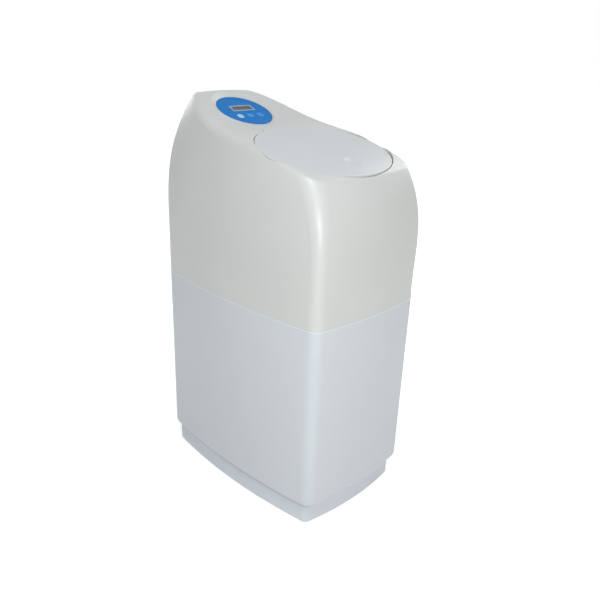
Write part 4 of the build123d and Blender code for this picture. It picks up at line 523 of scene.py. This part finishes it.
# Brine well: a slotted polyethylene tube that stands on the tank's floor and keeps salt off
# the brine valve, with a lift-off cap. Its cool white skin is slightly coarse.
well_plastic = moulded_plastic(
    "extruded_polyethylene_white", "E0E4E8", "D9DDE2",
    roughness=0.42, grain=1.5, relief=0.05, ior=1.51,
)
dress(well_plastic, "brine_well", "well_cap", "brine_valve")

# Float, rod and brine line: a foamed polypropylene float on a grey PVC rod, and a milky
# polyethylene tube from the valve over the tank. The foam is the dullest of the three, and
# the tube the smoothest.
float_foam = moulded_plastic(
    "foamed_polypropylene", "E9E9E4", "E1E1DB",
    roughness=0.5, grain=1.2, relief=0.06,
)
dress(float_foam, "brine_float")
rod_plastic = moulded_plastic(
    "extruded_pvc_grey", "A9ABAD", "A0A2A4",
    roughness=0.4, grain=1.0, relief=0.03, ior=1.53,
)
dress(rod_plastic, "float_rod")
tube_plastic = moulded_plastic(
    "extruded_polyethylene_milky", "E6EAEE", "DEE3E8",
    roughness=0.3, grain=2.0, relief=0.03, ior=1.51,
)
dress(tube_plastic, "brine_line")

# Camera: stands before the front left corner, a little above the lid, and is turned
# slightly about its own axis, as the fit to the seam, corners and floor line gave it.
azimuth, elevation, roll = math.radians(-45.6468), math.radians(21.8923), math.radians(2.2609)
aim = Vector((0, 0, 0.5))
distance, aside, lower = 1.454, 0.0305, 0.0891
focal_pixels, image_pixels, sensor_width = 664.46, 600, 36.0
back = Vector((
    math.sin(azimuth) * math.cos(elevation),
    -math.cos(azimuth) * math.cos(elevation),
    math.sin(elevation),
))
level_right = Vector((0, 0, 1)).cross(back).normalized()
level_up = back.cross(level_right)
right = level_right * math.cos(roll) + level_up * math.sin(roll)
up = level_up * math.cos(roll) - level_right * math.sin(roll)
eye = aim + back * distance + right * aside - up * lower
lens = bpy.data.cameras.new("photo_camera")
lens.sensor_width = sensor_width
lens.lens = focal_pixels * sensor_width / image_pixels
camera = bpy.data.objects.new("photo_camera", lens)
bpy.context.scene.collection.objects.link(camera)
camera.matrix_world = Matrix((
    (right.x, up.x, back.x, eye.x),
    (right.y, up.y, back.y, eye.y),
    (right.z, up.z, back.z, eye.z),
    (0, 0, 0, 1),
))
bpy.context.scene.camera = camera

# Studio floor: matt white paint, a hair below the plinth's foot so that the two don't
# share a plane. It takes the cabinet's soft shadow near the plinth. Its glow to the camera
# is halved near the cabinet, a painted shade round it, and reaches plain white further off.
floor_size, floor_drop = 12.0, 0.0004
painted_shadow_radius, white_radius = 0.3, 0.75
mottle_size = 25.0


def looked_at(tree):
    """1 for a ray from the camera or a mirrored or refracted one, and 0 for the rest."""
    rays = add_node(tree, "ShaderNodeLightPath")
    mirrored = add_node(
        tree, "ShaderNodeMath", {"operation": "MAXIMUM"},
        _0=rays.outputs["Is Glossy Ray"], _1=rays.outputs["Is Transmission Ray"],
    )
    viewed = add_node(
        tree, "ShaderNodeMath", {"operation": "MAXIMUM"},
        _0=rays.outputs["Is Camera Ray"], _1=mirrored.outputs[0],
    )
    return viewed.outputs[0]


bpy.ops.mesh.primitive_plane_add(size=floor_size, location=(0, 0, -floor_drop))
floor = bpy.context.active_object
floor.name = "floor"
material, tree, output, place = new_material("matt_wall_paint")
mottle = add_node(
    tree, "ShaderNodeTexNoise", Vector=place, Scale=cells(mottle_size), Detail=4.0
)
spread = add_node(
    tree, "ShaderNodeMapRange", Value=mottle.outputs["Fac"], To_Min=0.86, To_Max=0.9
)
paint = add_node(tree, "ShaderNodeBsdfDiffuse", Color=spread.outputs["Result"])
reach = add_node(tree, "ShaderNodeVectorMath", {"operation": "LENGTH"}, _0=place)
# Painted shade: the glow falls to half near the cabinet and rises to full white further off.
painted_shade_ramp = add_node(
    tree, "ShaderNodeMapRange", Value=reach.outputs["Value"],
    From_Min=painted_shadow_radius, From_Max=white_radius, To_Min=0.5, To_Max=1.0,
)
lift = add_node(
    tree, "ShaderNodeMath", {"operation": "MULTIPLY"},
    _0=looked_at(tree), _1=painted_shade_ramp.outputs["Result"],
)
glow = add_node(tree, "ShaderNodeEmission", Strength=lift.outputs[0])
both = add_node(tree, "ShaderNodeAddShader", _0=paint.outputs[0], _1=glow.outputs[0])
tree.links.new(both.outputs[0], output.inputs["Surface"])
floor.data.materials.append(material)

# Room: even, pale, slightly cool light from all round the cabinet. It is plain white where
# the camera looks past the cabinet and where a surface mirrors it.
room_strength = 0.27
world = bpy.data.worlds.new("white_room")
bpy.context.scene.world = world
world.use_nodes = True
tree = world.node_tree
tree.nodes.clear()
room = add_node(
    tree, "ShaderNodeBackground", Color=(0.97, 0.985, 1.0, 1.0), Strength=room_strength
)
white = add_node(tree, "ShaderNodeBackground", Color=(1, 1, 1, 1), Strength=1.0)
seen = add_node(
    tree, "ShaderNodeMixShader", _0=looked_at(tree), _1=room.outputs[0], _2=white.outputs[0]
)
output = tree.nodes.new("ShaderNodeOutputWorld")
tree.links.new(seen.outputs[0], output.inputs["Surface"])

# Lamps: square soft boxes that all face the cabinet's middle. The key lamp stands beside
# the camera and lights the front left corner most, the fill lamp lifts the front, the cool
# top lamp lights the lid and the crest, and two keep the right side and the back readable.
lit_middle = Vector((0, 0, 0.45))
for name, place, size, power, tint in (
    ("key_lamp", (-1.03, -1.3, 0.85), 0.45, 8.9, (1.0, 1.0, 1.0)),
    ("fill_lamp", (0.9, -2.2, 0.7), 1.0, 0.8, (1.0, 1.0, 1.0)),
    ("top_lamp", (-0.85, -0.75, 1.95), 0.5, 11.4, (0.87, 0.955, 1.0)),
    ("side_lamp", (1.7, 0.0, 1.45), 1.0, 8.0, (0.95, 0.98, 1.0)),
    ("back_lamp", (0.7, 2.2, 1.3), 1.2, 7.5, (1.0, 1.0, 1.0)),
):
    lamp = bpy.data.lights.new(name, "AREA")
    lamp.size = size
    lamp.energy = power
    lamp.color = tint
    holder = bpy.data.objects.new(name, lamp)
    bpy.context.scene.collection.objects.link(holder)
    holder.location = place
    holder.rotation_euler = (lit_middle - Vector(place)).to_track_quat("-Z", "Y").to_euler()

bpy.context.scene.view_settings.view_transform = "Standard"
